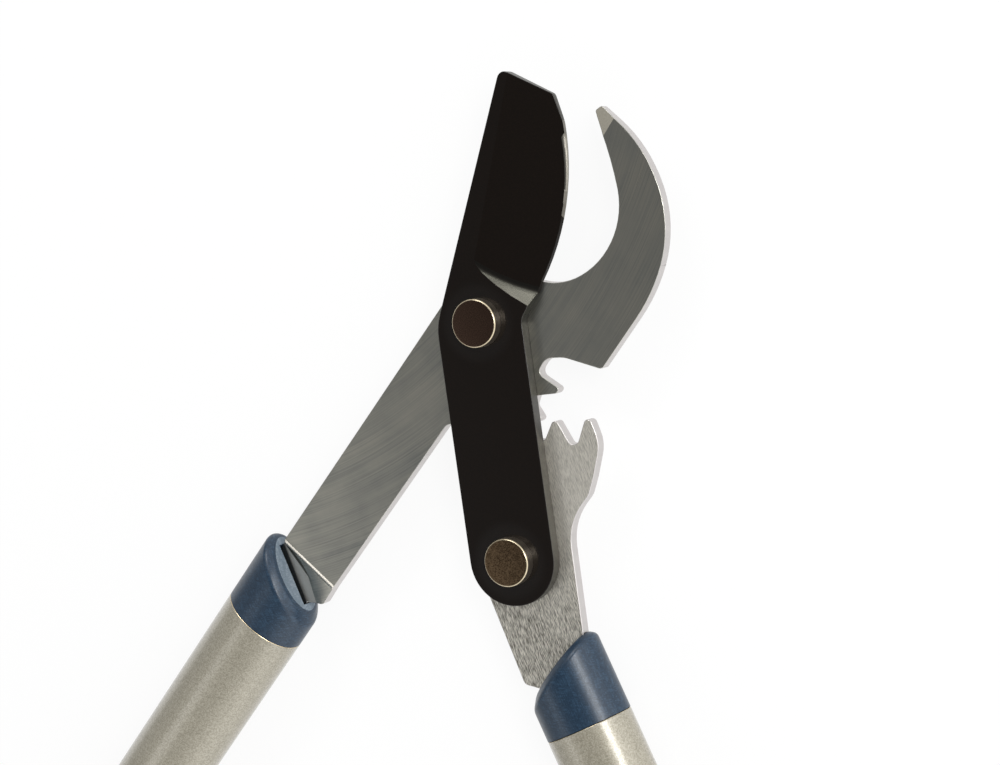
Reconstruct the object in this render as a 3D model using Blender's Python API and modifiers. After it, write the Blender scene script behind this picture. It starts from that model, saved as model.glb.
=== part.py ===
"""Geared bypass lopper, modelled piece by piece.

Sizes are in millimetres and angles in degrees; MM turns a length into metres.
The plates are drawn in the link frame: the jaw pivot is its origin and +Y runs
from the link pivot to the jaw pivot. The whole frame is turned about the jaw
pivot so that both handles lie evenly about -Y. Each handle has its own frame at
the seam between collar and tube, with +Y toward the head.
"""
from dataclasses import dataclass
from itertools import pairwise
from math import acos, atan2, atan, ceil, cos, degrees, hypot, pi, radians, sin, sqrt, tan

import bmesh
import bpy
from mathutils import Matrix, Vector

MM = 0.001
CLEARANCE = 0.3  # gap between two pieces that touch on the real tool
THROUGH = 2.0  # how far a cutter runs past the face it cuts
ROUND_STEPS = 24
FINE_STEPS = 36
ARC_HEIGHT_ERROR = 0.03  # how far a facet of an outline may lie inside its true arc

# Gear pair
TOOTH_MODULE = 3.0
HOOK_CIRCLE_TEETH = 21
GEAR_CIRCLE_TEETH = 28
TOOTH_ADDENDUM = 2.8
TOOTH_DEDENDUM = 4.0
TOOTH_ROOT_WIDTH = 6.6
TOOTH_TIP_WIDTH = 2.3
TOOTH_FILLET = 0.9
FIRST_TOOTH_ANGLE = 24.3
FIRST_TOOTH_EXTRA = 0.7
MESHING_TEETH = 3
HOOK_PITCH_RADIUS = TOOTH_MODULE * HOOK_CIRCLE_TEETH / 2
GEAR_PITCH_RADIUS = TOOTH_MODULE * GEAR_CIRCLE_TEETH / 2
PIVOT_DISTANCE = HOOK_PITCH_RADIUS + GEAR_PITCH_RADIUS

# Stack of plates and fasteners, from the bolt ends at z = 0 upward
AXIS_HEIGHT = 14.0
LEVER_THICKNESS = 4.0
BLADE_THICKNESS = 3.8
WASHER_THICKNESS = 1.6
NUT_HEIGHT = 8.0
HEAD_HEIGHT = 2.5
LEVER_BOTTOM = AXIS_HEIGHT - LEVER_THICKNESS / 2
LEVER_TOP = LEVER_BOTTOM + LEVER_THICKNESS
BLADE_BOTTOM = LEVER_TOP + CLEARANCE
BLADE_TOP = BLADE_BOTTOM + BLADE_THICKNESS
HEAD_BOTTOM = BLADE_TOP + CLEARANCE
WASHER_TOP = LEVER_BOTTOM - CLEARANCE
NUT_TOP = WASHER_TOP - WASHER_THICKNESS - CLEARANCE

# Fasteners and bearings
SHOULDER_RADIUS = 5.0
THREAD_RADIUS = 4.0
HEAD_RADIUS = 7.5
HEAD_CHAMFER = 0.6
BOLT_END_CHAMFER = 0.8
NUT_FLAT_RADIUS = 6.5
NUT_CHAMFER = 0.8
LOCK_RING_HEIGHT = 2.0
LOCK_RING_WALL = 1.1
BACK_WASHER_RADIUS = 8.5
BUSH_WALL = 1.7
FRICTION_WASHER_RADIUS = 11.3
FRICTION_WASHER_THICKNESS = 0.9

# Handles
LINK_TURN = 13.0
HANDLE_SPREAD = 32.0
TUBE_WIDTH = 29.0
TUBE_HEIGHT = 22.6
TUBE_WALL = 1.8
TUBE_LENGTH = 523.0
TANG_HALF_WIDTH = 9.0
TANG_LENGTH = 108.0
TANG_END_FILLET = 2.0
SHOULDER_ALONG = 18.9
SHOULDER_END_ALONG = 15.4
SHOULDER_FILLET = 2.0
SECTION_FLATNESS = TUBE_HEIGHT / TUBE_WIDTH
TUBE_RADIUS = TUBE_WIDTH / 2
TUBE_BORE = TUBE_RADIUS - TUBE_WALL

# Collars, each with an insert that fills the tube around the tang
COLLAR_MIDDLE = 19.7
COLLAR_SLANT = 27.5
COLLAR_ROUNDING = 3.6
COLLAR_ROUNDING_STEPS = 3
INSERT_BEYOND_TANG = 4.0
INSERT_LENGTH = TANG_LENGTH + INSERT_BEYOND_TANG
SLOT_MOUTH_OUTER = 12.6
SLOT_MOUTH_DEPTH = 14.4

# Rivets, as distances from the seam toward the grip
RIVET_RADIUS = 2.5
RIVET_HEAD_RADIUS = 4.5
RIVET_HEAD_HEIGHT = 1.4
RIVET_CROWN_RADIUS = 2.7
RIVET_CROWN_DROP = 0.3
RIVET_STEPS = 16
RIVET_TO_TANG_END = 12.0
RIVET_SPACING = 24.0
RIVETS = {
    "front": TANG_LENGTH - RIVET_TO_TANG_END - RIVET_SPACING,
    "rear": TANG_LENGTH - RIVET_TO_TANG_END,
}

# Grips, as distances from the seam toward the grip
GRIP_LENGTH = 171.0
GRIP_END = TUBE_LENGTH
GRIP_START = GRIP_END - GRIP_LENGTH
GRIP_MOUTH_RADIUS = 16.0
GRIP_MOUTH_ROUNDING = 1.2
GRIP_SWELL = 0.75
GRIP_MOUTH_LENGTH = 28.0
GRIP_REAR_LENGTH = 27.0
SLEEVE_START = GRIP_START + GRIP_MOUTH_LENGTH
SLEEVE_END = GRIP_END - GRIP_REAR_LENGTH
SLEEVE_THICKNESS = 1.5
CAP_THICKNESS = 6.0
CAP_PLUG_LENGTH = 24.0
CAP_ROUNDING = 3.0
GRIP_RADIUS = AXIS_HEIGHT / SECTION_FLATNESS

# Outlines in the link frame: a corner with three numbers has a fillet radius as its third.
# Blade outline
LINK_FRONT = 15.2
LINK_BACK = -13.7
LINK_END = 14.0  # from the link pivot to the end of the link
BLADE_TIP_BACK = (18.97, 74.67, 2.4)
BLADE_TIP_FRONT = (34.6, 64.6, 1.5)
BLADE_FRONT_CORNER = (36.4, 56.5, 12.0)
EDGE_START = (36.4, 51.5)
EDGE_MIDDLE = (34.6, 36.8)
EDGE_END = (22.2, 9.9)
HEEL = (20.4, 6.5, 3.0)
LINK_FRONT_CORNER = (15.0, -0.5, 5.0)
LINK_BACK_CORNER = (-14.3, 0.4, 18.0)
LINK_END_ROUNDING = 14.2
EDGE_BEVEL_RUN = 0.9  # sideways run of the fine edge bevel for each millimetre of height

# Grinding of the blade: a flat slope from the ridge line down to the edge, made by a wheel
# whose rim is rounded and then rises at its flank angle
RIDGE_TOP = (19.59, 67.42)
RIDGE_BOTTOM = (1.76, 18.79)
GRIND_SLOPE = 0.124
GRIND_CENTRE = (42.0, 69.5)
GRIND_RADIUS = 64.5
GRIND_HEIGHT = 6.0
GRIND_ROUNDING = 5.6
GRIND_FLANK = 29.0
GRIND_ROUNDING_STEPS = 3

# Hook outline
HOOK_HUB_RADIUS = 14.4
HOOK_HUB_START = 40.0
HOOK_TIP = (48.4, 59.0, 1.0)
HOOK_TIP_INNER = (46.0, 57.9, 0.6)
HOOK_INNER_UPPER = ((46.4, 56.0), (49.0, 44.5), (50.3, 34.0))
HOOK_INNER_LOWER = ((50.3, 34.0), (44.0, 16.4), (32.8, 9.6))
HOOK_INNER_END = ((32.8, 9.6), (27.5, 9.0), (21.0, 10.2))
HOOK_OUTER = ((57.3, 1.9, 52.0), (66.7, 22.4, 37.0), (59.8, 46.5, 44.0))
HOOK_LOWER_CORNER = (37.6, -18.4, 1.6)
HOOK_NOTCH = ((16.0, -17.4, 2.0), (19.5, -13.2, 4.0), (25.5, -13.6, 8.0))
SHORT_TOOTH = ((13.2, -27.0, 1.0), (14.7, -24.15, 1.0), (21.3, -24.15, 0.9), (22.9, -22.9, 1.0))
TANG_INNER_START = (-17.2, -29.6, 3.0)
FACET_LINE = ((48.48, 50.44), (52.18, 54.54))
FACET_SLOPE = 10.0

# Step of the hook lever's tang, as distances from the seam toward the head
TANG_STEP = 1.5
STEP_CREASE_ALONG = 26.7
STEP_FOOT = ((25.4, 9.0), (22.4, -4.5), (15.8, -14.2))  # along the handle and outward of it

# Gear lever outline about the link pivot
GEAR_FLANK_X = 19.7
GEAR_FLANK_FILLET = 4.0
GEAR_OUTER = ((19.7, 9.7, 18.0), (27.7, 17.75, 5.0), (30.2, 23.3, 14.0), (33.7, 33.0, 11.0))
OUTER_TOOTH = ((31.6, 40.6, 1.6), (29.7, 40.7, 1.4), (26.3, 33.6, 1.4), (23.8, 33.6, 1.4))
INNER_TOOTH = ((20.3, 41.1, 1.0), (18.7, 41.0, 1.0), (15.4, 35.6, 1.0))
GEAR_BACK = ((-12.5, 13.5, 12.0), (-13.6, -2.5, 20.0))


@dataclass(frozen=True)
class Handle:
    """Place of a handle relative to the pivot of the lever that carries it."""

    side: str
    turn: float
    seam_distance: float
    axis_offset: float
    outward: int
    inner_edge: float

    def at(self, along: float, outward: float) -> tuple[float, float]:
        """Return the lever frame point that lies along the axis and outward of it."""
        turn = radians(self.turn)
        distance = self.seam_distance - along
        offset = self.axis_offset + self.outward * outward
        return (
            sin(turn) * distance + cos(turn) * offset,
            -cos(turn) * distance + sin(turn) * offset,
        )


LEFT = Handle("left", -HANDLE_SPREAD - LINK_TURN, 130.6, -6.3, -1, 14.2)
RIGHT = Handle("right", HANDLE_SPREAD - LINK_TURN, 55.1, -1.5, 1, 13.9)


# Outlines

def arc_steps(radius, sweep):
    """Return how many facets an arc needs to stay within its height error."""
    step = 2 * acos(1 - min(0.1, ARC_HEIGHT_ERROR / radius))
    return max(2, ceil(abs(sweep) / step))


def rounded(corners):
    """Turn corners (x, y, fillet radius) into outline points."""
    points = []
    for index, (x, y, radius) in enumerate(corners):
        if radius == 0:
            points.append((x, y))
            continue
        corner = Vector((x, y))
        before = (Vector(corners[index - 1][:2]) - corner).normalized()
        after = (Vector(corners[(index + 1) % len(corners)][:2]) - corner).normalized()
        half_angle = before.angle(after) / 2
        tangent = radius / tan(half_angle)
        centre = corner + (before + after).normalized() * (radius / sin(half_angle))
        start = corner + before * tangent - centre
        end = corner + after * tangent - centre
        first = atan2(start.y, start.x)
        sweep = (atan2(end.y, end.x) - first + pi) % (2 * pi) - pi
        steps = arc_steps(radius, sweep)
        for step in range(steps + 1):
            angle = first + sweep * step / steps
            points.append((centre.x + radius * cos(angle), centre.y + radius * sin(angle)))
    return points


def circle_through(start, middle, end):
    """Return the centre and radius of the circle through three points."""
    (ax, ay), (bx, by), (cx, cy) = start, middle, end
    twice_area = 2 * (ax * (by - cy) + bx * (cy - ay) + cx * (ay - by))
    a_square = ax * ax + ay * ay
    b_square = bx * bx + by * by
    c_square = cx * cx + cy * cy
    x = (a_square * (by - cy) + b_square * (cy - ay) + c_square * (ay - by)) / twice_area
    y = (a_square * (cx - bx) + b_square * (ax - cx) + c_square * (bx - ax)) / twice_area
    return (x, y), hypot(ax - x, ay - y)


def arc_corners(start, middle, end):
    """Return unfilleted corners along the arc through three points."""
    (x, y), radius = circle_through(start, middle, end)
    first = atan2(start[1] - y, start[0] - x)
    to_middle = (atan2(middle[1] - y, middle[0] - x) - first) % (2 * pi)
    sweep = (atan2(end[1] - y, end[0] - x) - first) % (2 * pi)
    if to_middle > sweep:
        sweep -= 2 * pi
    steps = arc_steps(radius, sweep)
    angles = [first + sweep * step / steps for step in range(steps + 1)]
    return [(x + radius * cos(angle), y + radius * sin(angle), 0) for angle in angles]


def circle(radius, centre=(0.0, 0.0), steps=ROUND_STEPS):
    """Return the points of a circle."""
    angles = [2 * pi * step / steps for step in range(steps)]
    return [(centre[0] + radius * cos(angle), centre[1] + radius * sin(angle)) for angle in angles]


def tooth(angle, pitch_radius, facing, extra=0.0):
    """Return the four corners of a gear tooth.

    The angle is measured from the line between the pivots toward +X, and
    facing is -1 for teeth that point toward -Y and +1 for teeth toward +Y.
    """
    root = pitch_radius - TOOTH_DEDENDUM
    tip = pitch_radius + TOOTH_ADDENDUM
    root_half = degrees(TOOTH_ROOT_WIDTH / 2 / root)
    tip_half = degrees(TOOTH_TIP_WIDTH / 2 / tip)
    steps = ((-root_half, root), (-tip_half, tip + extra), (tip_half, tip + extra), (root_half, root))
    corners = []
    for step, radius in steps:
        turn = radians(angle + step)
        corners.append((radius * sin(turn), facing * radius * cos(turn), TOOTH_FILLET))
    return corners


def hook_lever_outline():
    """Outline of the hook, its gear sector and its tang, about the jaw pivot."""
    pitch = 360 / HOOK_CIRCLE_TEETH
    hub_start = radians(HOOK_HUB_START)
    crease_outer = Vector(LEFT.at(STEP_CREASE_ALONG, TANG_HALF_WIDTH))
    reach = crease_outer.length
    hub_end = atan2(crease_outer.y, crease_outer.x) - acos(HOOK_HUB_RADIUS / reach)
    corners = [HOOK_TIP, HOOK_TIP_INNER]
    corners += arc_corners(*HOOK_INNER_UPPER)[:-1]
    corners += arc_corners(*HOOK_INNER_LOWER)[:-1]
    corners += arc_corners(*HOOK_INNER_END)
    corners += arc_corners(
        (HOOK_HUB_RADIUS * sin(hub_start), HOOK_HUB_RADIUS * cos(hub_start)),
        (0.0, HOOK_HUB_RADIUS),
        (HOOK_HUB_RADIUS * cos(hub_end), HOOK_HUB_RADIUS * sin(hub_end)),
    )
    corners.append((*crease_outer, 0))
    corners += tang_end(LEFT)
    corners.append(TANG_INNER_START)
    corners += tooth(FIRST_TOOTH_ANGLE - MESHING_TEETH * pitch, HOOK_PITCH_RADIUS, -1)[2:]
    for number in range(MESHING_TEETH - 1, 0, -1):
        corners += tooth(FIRST_TOOTH_ANGLE - number * pitch, HOOK_PITCH_RADIUS, -1)
    corners += tooth(FIRST_TOOTH_ANGLE, HOOK_PITCH_RADIUS, -1, FIRST_TOOTH_EXTRA)[:3]
    corners += SHORT_TOOTH
    corners += HOOK_NOTCH
    corners.append(HOOK_LOWER_CORNER)
    corners += HOOK_OUTER
    return rounded(corners)


def gear_lever_outline():
    """Outline of the gear lever and its tang, about the link pivot."""
    pitch = 360 / GEAR_CIRCLE_TEETH
    half_hook_pitch = 180 / HOOK_CIRCLE_TEETH
    ratio = HOOK_CIRCLE_TEETH / GEAR_CIRCLE_TEETH
    first = (FIRST_TOOTH_ANGLE - half_hook_pitch) * ratio
    corners = list(GEAR_OUTER + OUTER_TOOTH + INNER_TOOTH)
    for number in range(MESHING_TEETH):
        corners += tooth(first - number * pitch, GEAR_PITCH_RADIUS, 1)[::-1]
    corners += GEAR_BACK
    corners += tang_end(RIGHT)[::-1]
    outer_edge = RIGHT.at(0, TANG_HALF_WIDTH)
    turn = radians(RIGHT.turn)
    flank_end = outer_edge[1] + (outer_edge[0] - GEAR_FLANK_X) / tan(turn)
    corners.append((GEAR_FLANK_X, flank_end, GEAR_FLANK_FILLET))
    return rounded(corners)


def tang_end(handle):
    """Corners of a tang from its outer end corner to its inner shoulder."""
    return [
        (*handle.at(-TANG_LENGTH, TANG_HALF_WIDTH), TANG_END_FILLET),
        (*handle.at(-TANG_LENGTH, -TANG_HALF_WIDTH), TANG_END_FILLET),
        (*handle.at(SHOULDER_END_ALONG, -TANG_HALF_WIDTH), 0),
        (*handle.at(SHOULDER_ALONG, -handle.inner_edge), SHOULDER_FILLET),
    ]


def blade_outline():
    """Outline of the blade at its lower face, where the cutting edge lies."""
    link_end = -PIVOT_DISTANCE - LINK_END
    corners = [BLADE_TIP_BACK, BLADE_TIP_FRONT, BLADE_FRONT_CORNER]
    corners += arc_corners(EDGE_START, EDGE_MIDDLE, EDGE_END)
    corners += [
        HEEL,
        LINK_FRONT_CORNER,
        (LINK_FRONT, link_end, LINK_END_ROUNDING),
        (LINK_BACK, link_end, LINK_END_ROUNDING),
        LINK_BACK_CORNER,
    ]
    return rounded(corners)


# Modelling helpers

def empty_scene():
    """Remove what the file holds and make the two collections."""
    for item in list(bpy.data.objects):
        bpy.data.objects.remove(item)
    for name in ("lopper", "cutters"):
        bpy.context.scene.collection.children.link(bpy.data.collections.new(name))


def material(name, colour, roughness, metallic):
    """Make a Principled material."""
    made = bpy.data.materials.new(name)
    made.use_nodes = True
    shader = made.node_tree.nodes["Principled BSDF"]
    shader.inputs["Base Color"].default_value = (*colour, 1.0)
    shader.inputs["Roughness"].default_value = roughness
    shader.inputs["Metallic"].default_value = metallic
    return made


def frame(name, parent=None, at=(0.0, 0.0), turn=0.0):
    """Add an empty that carries the pieces of one body or handle."""
    empty = bpy.data.objects.new(name, None)
    empty.location = (at[0] * MM, at[1] * MM, 0)
    empty.rotation_euler.z = radians(turn)
    empty.parent = parent
    bpy.data.collections["lopper"].objects.link(empty)
    return empty


def piece(name, mesh, parent, finish=None, height=0.0):
    """Add a mesh as a node of the part, or as a cutter where it has no finish."""
    made = bpy.data.objects.new(name, mesh)
    made.parent = parent
    made.location.z = height * MM
    if finish is None:
        made.hide_render = True
        made.display_type = "WIRE"
        bpy.data.collections["cutters"].objects.link(made)
        return made
    mesh.materials.clear()
    mesh.materials.append(finish)
    bpy.data.collections["lopper"].objects.link(made)
    return made


def smooth(mesh, angle=40.0):
    """Shade a round piece smooth and keep its real edges sharp."""
    mesh.shade_smooth()
    mesh.set_sharp_from_angle(angle=radians(angle))


def applied(source):
    """Return the evaluated mesh of a temporary object, closed and turned outward."""
    bpy.context.scene.collection.objects.link(source)
    bpy.context.view_layer.update()
    evaluated = source.evaluated_get(bpy.context.evaluated_depsgraph_get())
    mesh = bpy.data.meshes.new_from_object(evaluated)
    bpy.data.objects.remove(source)
    model = bmesh.new()
    model.from_mesh(mesh)
    bmesh.ops.remove_doubles(model, verts=model.verts, dist=0.001 * MM)
    bmesh.ops.recalc_face_normals(model, faces=model.faces)
    model.to_mesh(mesh)
    model.free()
    return mesh


def plate(outline, thickness, holes=()):
    """Return a flat plate about z = 0 with round or shaped holes."""
    curve = bpy.data.curves.new("outline", "CURVE")
    curve.dimensions = "2D"
    curve.fill_mode = "BOTH"
    curve.extrude = thickness / 2 * MM
    for points in (outline, *holes):
        spline = curve.splines.new("POLY")
        spline.points.add(len(points) - 1)
        for point, (x, y) in zip(spline.points, points):
            point.co = (x * MM, y * MM, 0, 1)
        spline.use_cyclic_u = True
    return applied(bpy.data.objects.new("outline", curve))


def turned(profile, steps=ROUND_STEPS, closed=False):
    """Return the body that a profile of (radius, height) sweeps about Z."""
    points = [(radius * MM, 0, height * MM) for radius, height in profile]
    edges = [(index, index + 1) for index in range(len(points) - 1)]
    if closed:
        edges.append((len(points) - 1, 0))
    mesh = bpy.data.meshes.new("profile")
    mesh.from_pydata(points, edges, [])
    source = bpy.data.objects.new("profile", mesh)
    screw = source.modifiers.new("Screw", "SCREW")
    screw.axis = "Z"
    screw.steps = steps
    screw.render_steps = steps
    screw.use_merge_vertices = True
    screw.merge_threshold = 0.001 * MM
    mesh = applied(source)
    smooth(mesh)
    return mesh


def ring(outer, inner, thickness):
    """Return a flat ring about z = 0."""
    mesh = plate(circle(outer), thickness, [circle(inner)])
    smooth(mesh)
    return mesh


def box(centre, size):
    """Return a box by its centre and its size."""
    mesh = bpy.data.meshes.new("box")
    model = bmesh.new()
    bmesh.ops.create_cube(model, size=1.0)
    bmesh.ops.scale(model, vec=Vector(size) * MM, verts=model.verts)
    bmesh.ops.translate(model, vec=Vector(centre) * MM, verts=model.verts)
    model.to_mesh(mesh)
    model.free()
    return mesh


def cylinder(radius, depth, steps=ROUND_STEPS):
    """Return a cylinder that stands on z = 0."""
    mesh = bpy.data.meshes.new("cylinder")
    model = bmesh.new()
    bmesh.ops.create_cone(
        model, cap_ends=True, segments=steps,
        radius1=radius * MM, radius2=radius * MM, depth=depth * MM,
    )
    bmesh.ops.translate(model, vec=(0, 0, depth / 2 * MM), verts=model.verts)
    model.to_mesh(mesh)
    model.free()
    return mesh


def combine(target, other, operation="DIFFERENCE"):
    """Cut the target with another object, or keep what both share."""
    boolean = target.modifiers.new(other.name, "BOOLEAN")
    boolean.object = other
    boolean.operation = operation
    boolean.solver = "EXACT"


def laid_along_handle(mesh):
    """Turn a body from Z to the handle's Y axis and flatten it to the tube's section."""
    mesh.transform(Matrix.Rotation(radians(-90), 4, "X"))
    mesh.transform(Matrix.Diagonal((1, 1, SECTION_FLATNESS, 1)))
    smooth(mesh)
    return mesh


# Head

def add_washer_recess(lever, parent):
    """Cut the seat of the friction washer into a lever's upper face."""
    depth = FRICTION_WASHER_THICKNESS + CLEARANCE
    radius = FRICTION_WASHER_RADIUS + CLEARANCE
    cutter = piece(
        lever.name + "_recess", cylinder(radius, depth + THROUGH), parent,
        height=LEVER_TOP - depth,
    )
    combine(lever, cutter)


def rivet_holes(handle):
    """Return the holes of a tang for its rivets."""
    radius = RIVET_RADIUS + CLEARANCE
    return [circle(radius, handle.at(-distance, 0), RIVET_STEPS) for distance in RIVETS.values()]


def step_tang(mesh):
    """Bend the hook lever's tang down by its step, from the crease to the bent foot line."""
    model = bmesh.new()
    model.from_mesh(mesh)
    turn = radians(LEFT.turn)
    toward_grip = Vector((sin(turn), -cos(turn), 0))
    crease = Vector((*LEFT.at(STEP_CREASE_ALONG, 0), 0)) * MM
    foot = [Vector((*LEFT.at(*corner), 0)) * MM for corner in STEP_FOOT]
    foot_planes = []
    for near, far in pairwise(foot):
        line = far - near
        normal = Vector((line.y, -line.x, 0)).normalized()
        if normal.dot(toward_grip) < 0:
            normal.negate()
        foot_planes.append((near, normal))
    for point, normal in [(crease, toward_grip), *foot_planes]:
        whole = [*model.verts, *model.edges, *model.faces]
        bmesh.ops.bisect_plane(model, geom=whole, dist=0.001 * MM, plane_co=point, plane_no=normal)
    for vertex in model.verts:
        past_crease = (vertex.co - crease).dot(toward_grip)
        past_foot = min(
            (vertex.co - point).dot(normal) / normal.dot(toward_grip) for point, normal in foot_planes
        )
        if past_foot > 0:
            vertex.co.z -= TANG_STEP * MM
        elif past_crease > 0:
            vertex.co.z -= TANG_STEP * MM * past_crease / (past_crease - past_foot)
    model.to_mesh(mesh)
    model.free()


def add_hook_lever(parent, steel):
    """Hook, gear sector and left tang in one plate."""
    bush_hole = circle(SHOULDER_RADIUS + CLEARANCE + BUSH_WALL + CLEARANCE)
    mesh = plate(hook_lever_outline(), LEVER_THICKNESS, [bush_hole, *rivet_holes(LEFT)])
    step_tang(mesh)
    lever = piece("hook_lever", mesh, parent, steel, AXIS_HEIGHT)
    add_washer_recess(lever, parent)
    (start_x, start_y), (end_x, end_y) = FACET_LINE
    line_turn = atan2(end_y - start_y, end_x - start_x)
    size = HOOK_HUB_RADIUS
    facet = piece("hook_tip_facet", box((0, size, size / 2), (2 * size, 2 * size, size)), parent)
    facet.matrix_local = (
        Matrix.Translation(Vector((start_x, start_y, LEVER_TOP)) * MM)
        @ Matrix.Rotation(line_turn, 4, "Z")
        @ Matrix.Rotation(radians(-FACET_SLOPE), 4, "X")
    )
    combine(lever, facet)


def add_gear_lever(parent, steel):
    """Gear sector and right tang in one plate."""
    bush_hole = circle(SHOULDER_RADIUS + CLEARANCE + BUSH_WALL + CLEARANCE)
    mesh = plate(gear_lever_outline(), LEVER_THICKNESS, [bush_hole, *rivet_holes(RIGHT)])
    lever = piece("gear_lever", mesh, parent, steel, AXIS_HEIGHT)
    add_washer_recess(lever, parent)


def slope_cutting_edge(mesh):
    """Lean the wall along the cutting arc inward, so that the lower face holds the edge."""
    (x, y), radius = circle_through(EDGE_START, EDGE_MIDDLE, EDGE_END)
    centre = Vector((x, y, 0)) * MM
    model = bmesh.new()
    model.from_mesh(mesh)
    near_top = 0.45 * BLADE_THICKNESS * MM
    top = [face for face in model.faces if face.calc_center_median().z > near_top]
    bmesh.ops.delete(model, geom=top, context="FACES_KEEP_BOUNDARY")
    for vertex in model.verts:
        flat = Vector((vertex.co.x, vertex.co.y, 0))
        on_arc = abs((flat - centre).length - radius * MM) < 0.01 * MM
        along_arc = EDGE_END[1] - 0.01 < vertex.co.y / MM < EDGE_START[1] + 0.01
        if on_arc and vertex.co.z > 0 and along_arc:
            fade = min(1.0, (vertex.co.y / MM - HEEL[1]) / (EDGE_MIDDLE[1] - HEEL[1]))
            run = EDGE_BEVEL_RUN * BLADE_THICKNESS * fade
            vertex.co += (centre - flat).normalized() * run * MM
    rim = [edge for edge in model.edges if edge.is_boundary]
    bmesh.ops.triangle_fill(model, edges=rim, use_beauty=True)
    bmesh.ops.recalc_face_normals(model, faces=model.faces)
    model.to_mesh(mesh)
    model.free()


def grinding_wheel():
    """Return the wheel that grinds the blade, standing on its flat side."""
    profile = [(0, 0)]
    for step in range(GRIND_ROUNDING_STEPS + 1):
        turn = radians(GRIND_FLANK) * step / GRIND_ROUNDING_STEPS
        profile.append((GRIND_RADIUS + GRIND_ROUNDING * sin(turn), GRIND_ROUNDING * (1 - cos(turn))))
    radius, height = profile[-1]
    flank_run = (GRIND_HEIGHT - height) / tan(radians(GRIND_FLANK))
    profile += [(radius + flank_run, GRIND_HEIGHT), (0, GRIND_HEIGHT)]
    return turned(profile, 2 * FINE_STEPS)


def add_blade(parent, steel):
    """Blade and link in one plate, with its flat grind and its cutting edge."""
    hole = SHOULDER_RADIUS + CLEARANCE
    holes = [circle(hole), circle(hole, (0, -PIVOT_DISTANCE))]
    mesh = plate(blade_outline(), BLADE_THICKNESS, holes)
    slope_cutting_edge(mesh)
    blade = piece("cutting_blade", mesh, parent, steel, (BLADE_BOTTOM + BLADE_TOP) / 2)
    ridge = (Vector(RIDGE_TOP) - Vector(RIDGE_BOTTOM)).normalized()
    across = Vector((ridge.y, -ridge.x))
    distance = (Vector(GRIND_CENTRE) - Vector(RIDGE_TOP)).dot(across)
    grind = piece("blade_grind", grinding_wheel(), parent)
    grind.matrix_local = (
        Matrix.Translation(Vector((*GRIND_CENTRE, BLADE_TOP - GRIND_SLOPE * distance)) * MM)
        @ Matrix.Rotation(atan(GRIND_SLOPE), 4, Vector((*ridge, 0)))
    )
    combine(blade, grind)


def add_bolt(name, parent, steel):
    """Shoulder bolt with a flat chamfered head."""
    profile = [
        (0, HEAD_BOTTOM + HEAD_HEIGHT),
        (HEAD_RADIUS - HEAD_CHAMFER, HEAD_BOTTOM + HEAD_HEIGHT),
        (HEAD_RADIUS, HEAD_BOTTOM + HEAD_HEIGHT - HEAD_CHAMFER),
        (HEAD_RADIUS, HEAD_BOTTOM),
        (SHOULDER_RADIUS, HEAD_BOTTOM),
        (SHOULDER_RADIUS, LEVER_BOTTOM),
        (THREAD_RADIUS, LEVER_BOTTOM),
        (THREAD_RADIUS, BOLT_END_CHAMFER),
        (THREAD_RADIUS - BOLT_END_CHAMFER, 0),
        (0, 0),
    ]
    piece(name, turned(profile), parent, steel)


def add_nut(name, ring_name, parent, steel, nylon):
    """Hexagon lock nut and the nylon ring in its end."""
    corner = NUT_FLAT_RADIUS / cos(pi / 6)
    bore = THREAD_RADIUS + CLEARANCE
    nut_bottom = NUT_TOP - NUT_HEIGHT
    middle = (NUT_TOP + nut_bottom) / 2
    nut = piece(name, plate(circle(corner, steps=6), NUT_HEIGHT, [circle(bore)]), parent, steel, middle)
    barrel = turned([
        (0, NUT_TOP), (corner - NUT_CHAMFER, NUT_TOP), (corner, NUT_TOP - NUT_CHAMFER),
        (corner, nut_bottom + NUT_CHAMFER), (corner - NUT_CHAMFER, nut_bottom), (0, nut_bottom),
    ])
    combine(nut, piece(name + "_chamfers", barrel, parent), "INTERSECT")
    seat = bore + LOCK_RING_WALL + CLEARANCE
    seat_depth = LOCK_RING_HEIGHT + CLEARANCE
    cutter = piece(
        name + "_ring_seat", cylinder(seat, seat_depth + THROUGH), parent,
        height=nut_bottom - THROUGH,
    )
    combine(nut, cutter)
    piece(
        ring_name, ring(bore + LOCK_RING_WALL, bore, LOCK_RING_HEIGHT), parent, nylon,
        nut_bottom + LOCK_RING_HEIGHT / 2,
    )


def add_pivot(name, lever_name, blade_side, lever_side, finishes):
    """Bolt, nut and washers of one pivot on the blade, and the lever's bush and washer."""
    add_bolt(name + "_pivot_bolt", blade_side, finishes["bolt"])
    add_nut(
        name + "_pivot_nut", name + "_lock_ring", blade_side, finishes["zinc"], finishes["nylon"],
    )
    piece(
        name + "_back_washer", ring(BACK_WASHER_RADIUS, THREAD_RADIUS + CLEARANCE, WASHER_THICKNESS),
        blade_side, finishes["zinc"], WASHER_TOP - WASHER_THICKNESS / 2,
    )
    bore = SHOULDER_RADIUS + CLEARANCE
    bush_height = LEVER_THICKNESS - FRICTION_WASHER_THICKNESS - CLEARANCE
    piece(
        lever_name + "_bush", ring(bore + BUSH_WALL, bore, bush_height), lever_side,
        finishes["bronze"], LEVER_BOTTOM + bush_height / 2,
    )
    piece(
        name + "_friction_washer", ring(FRICTION_WASHER_RADIUS, bore, FRICTION_WASHER_THICKNESS),
        lever_side, finishes["nylon"], LEVER_TOP - FRICTION_WASHER_THICKNESS / 2,
    )


# Handles

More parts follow.
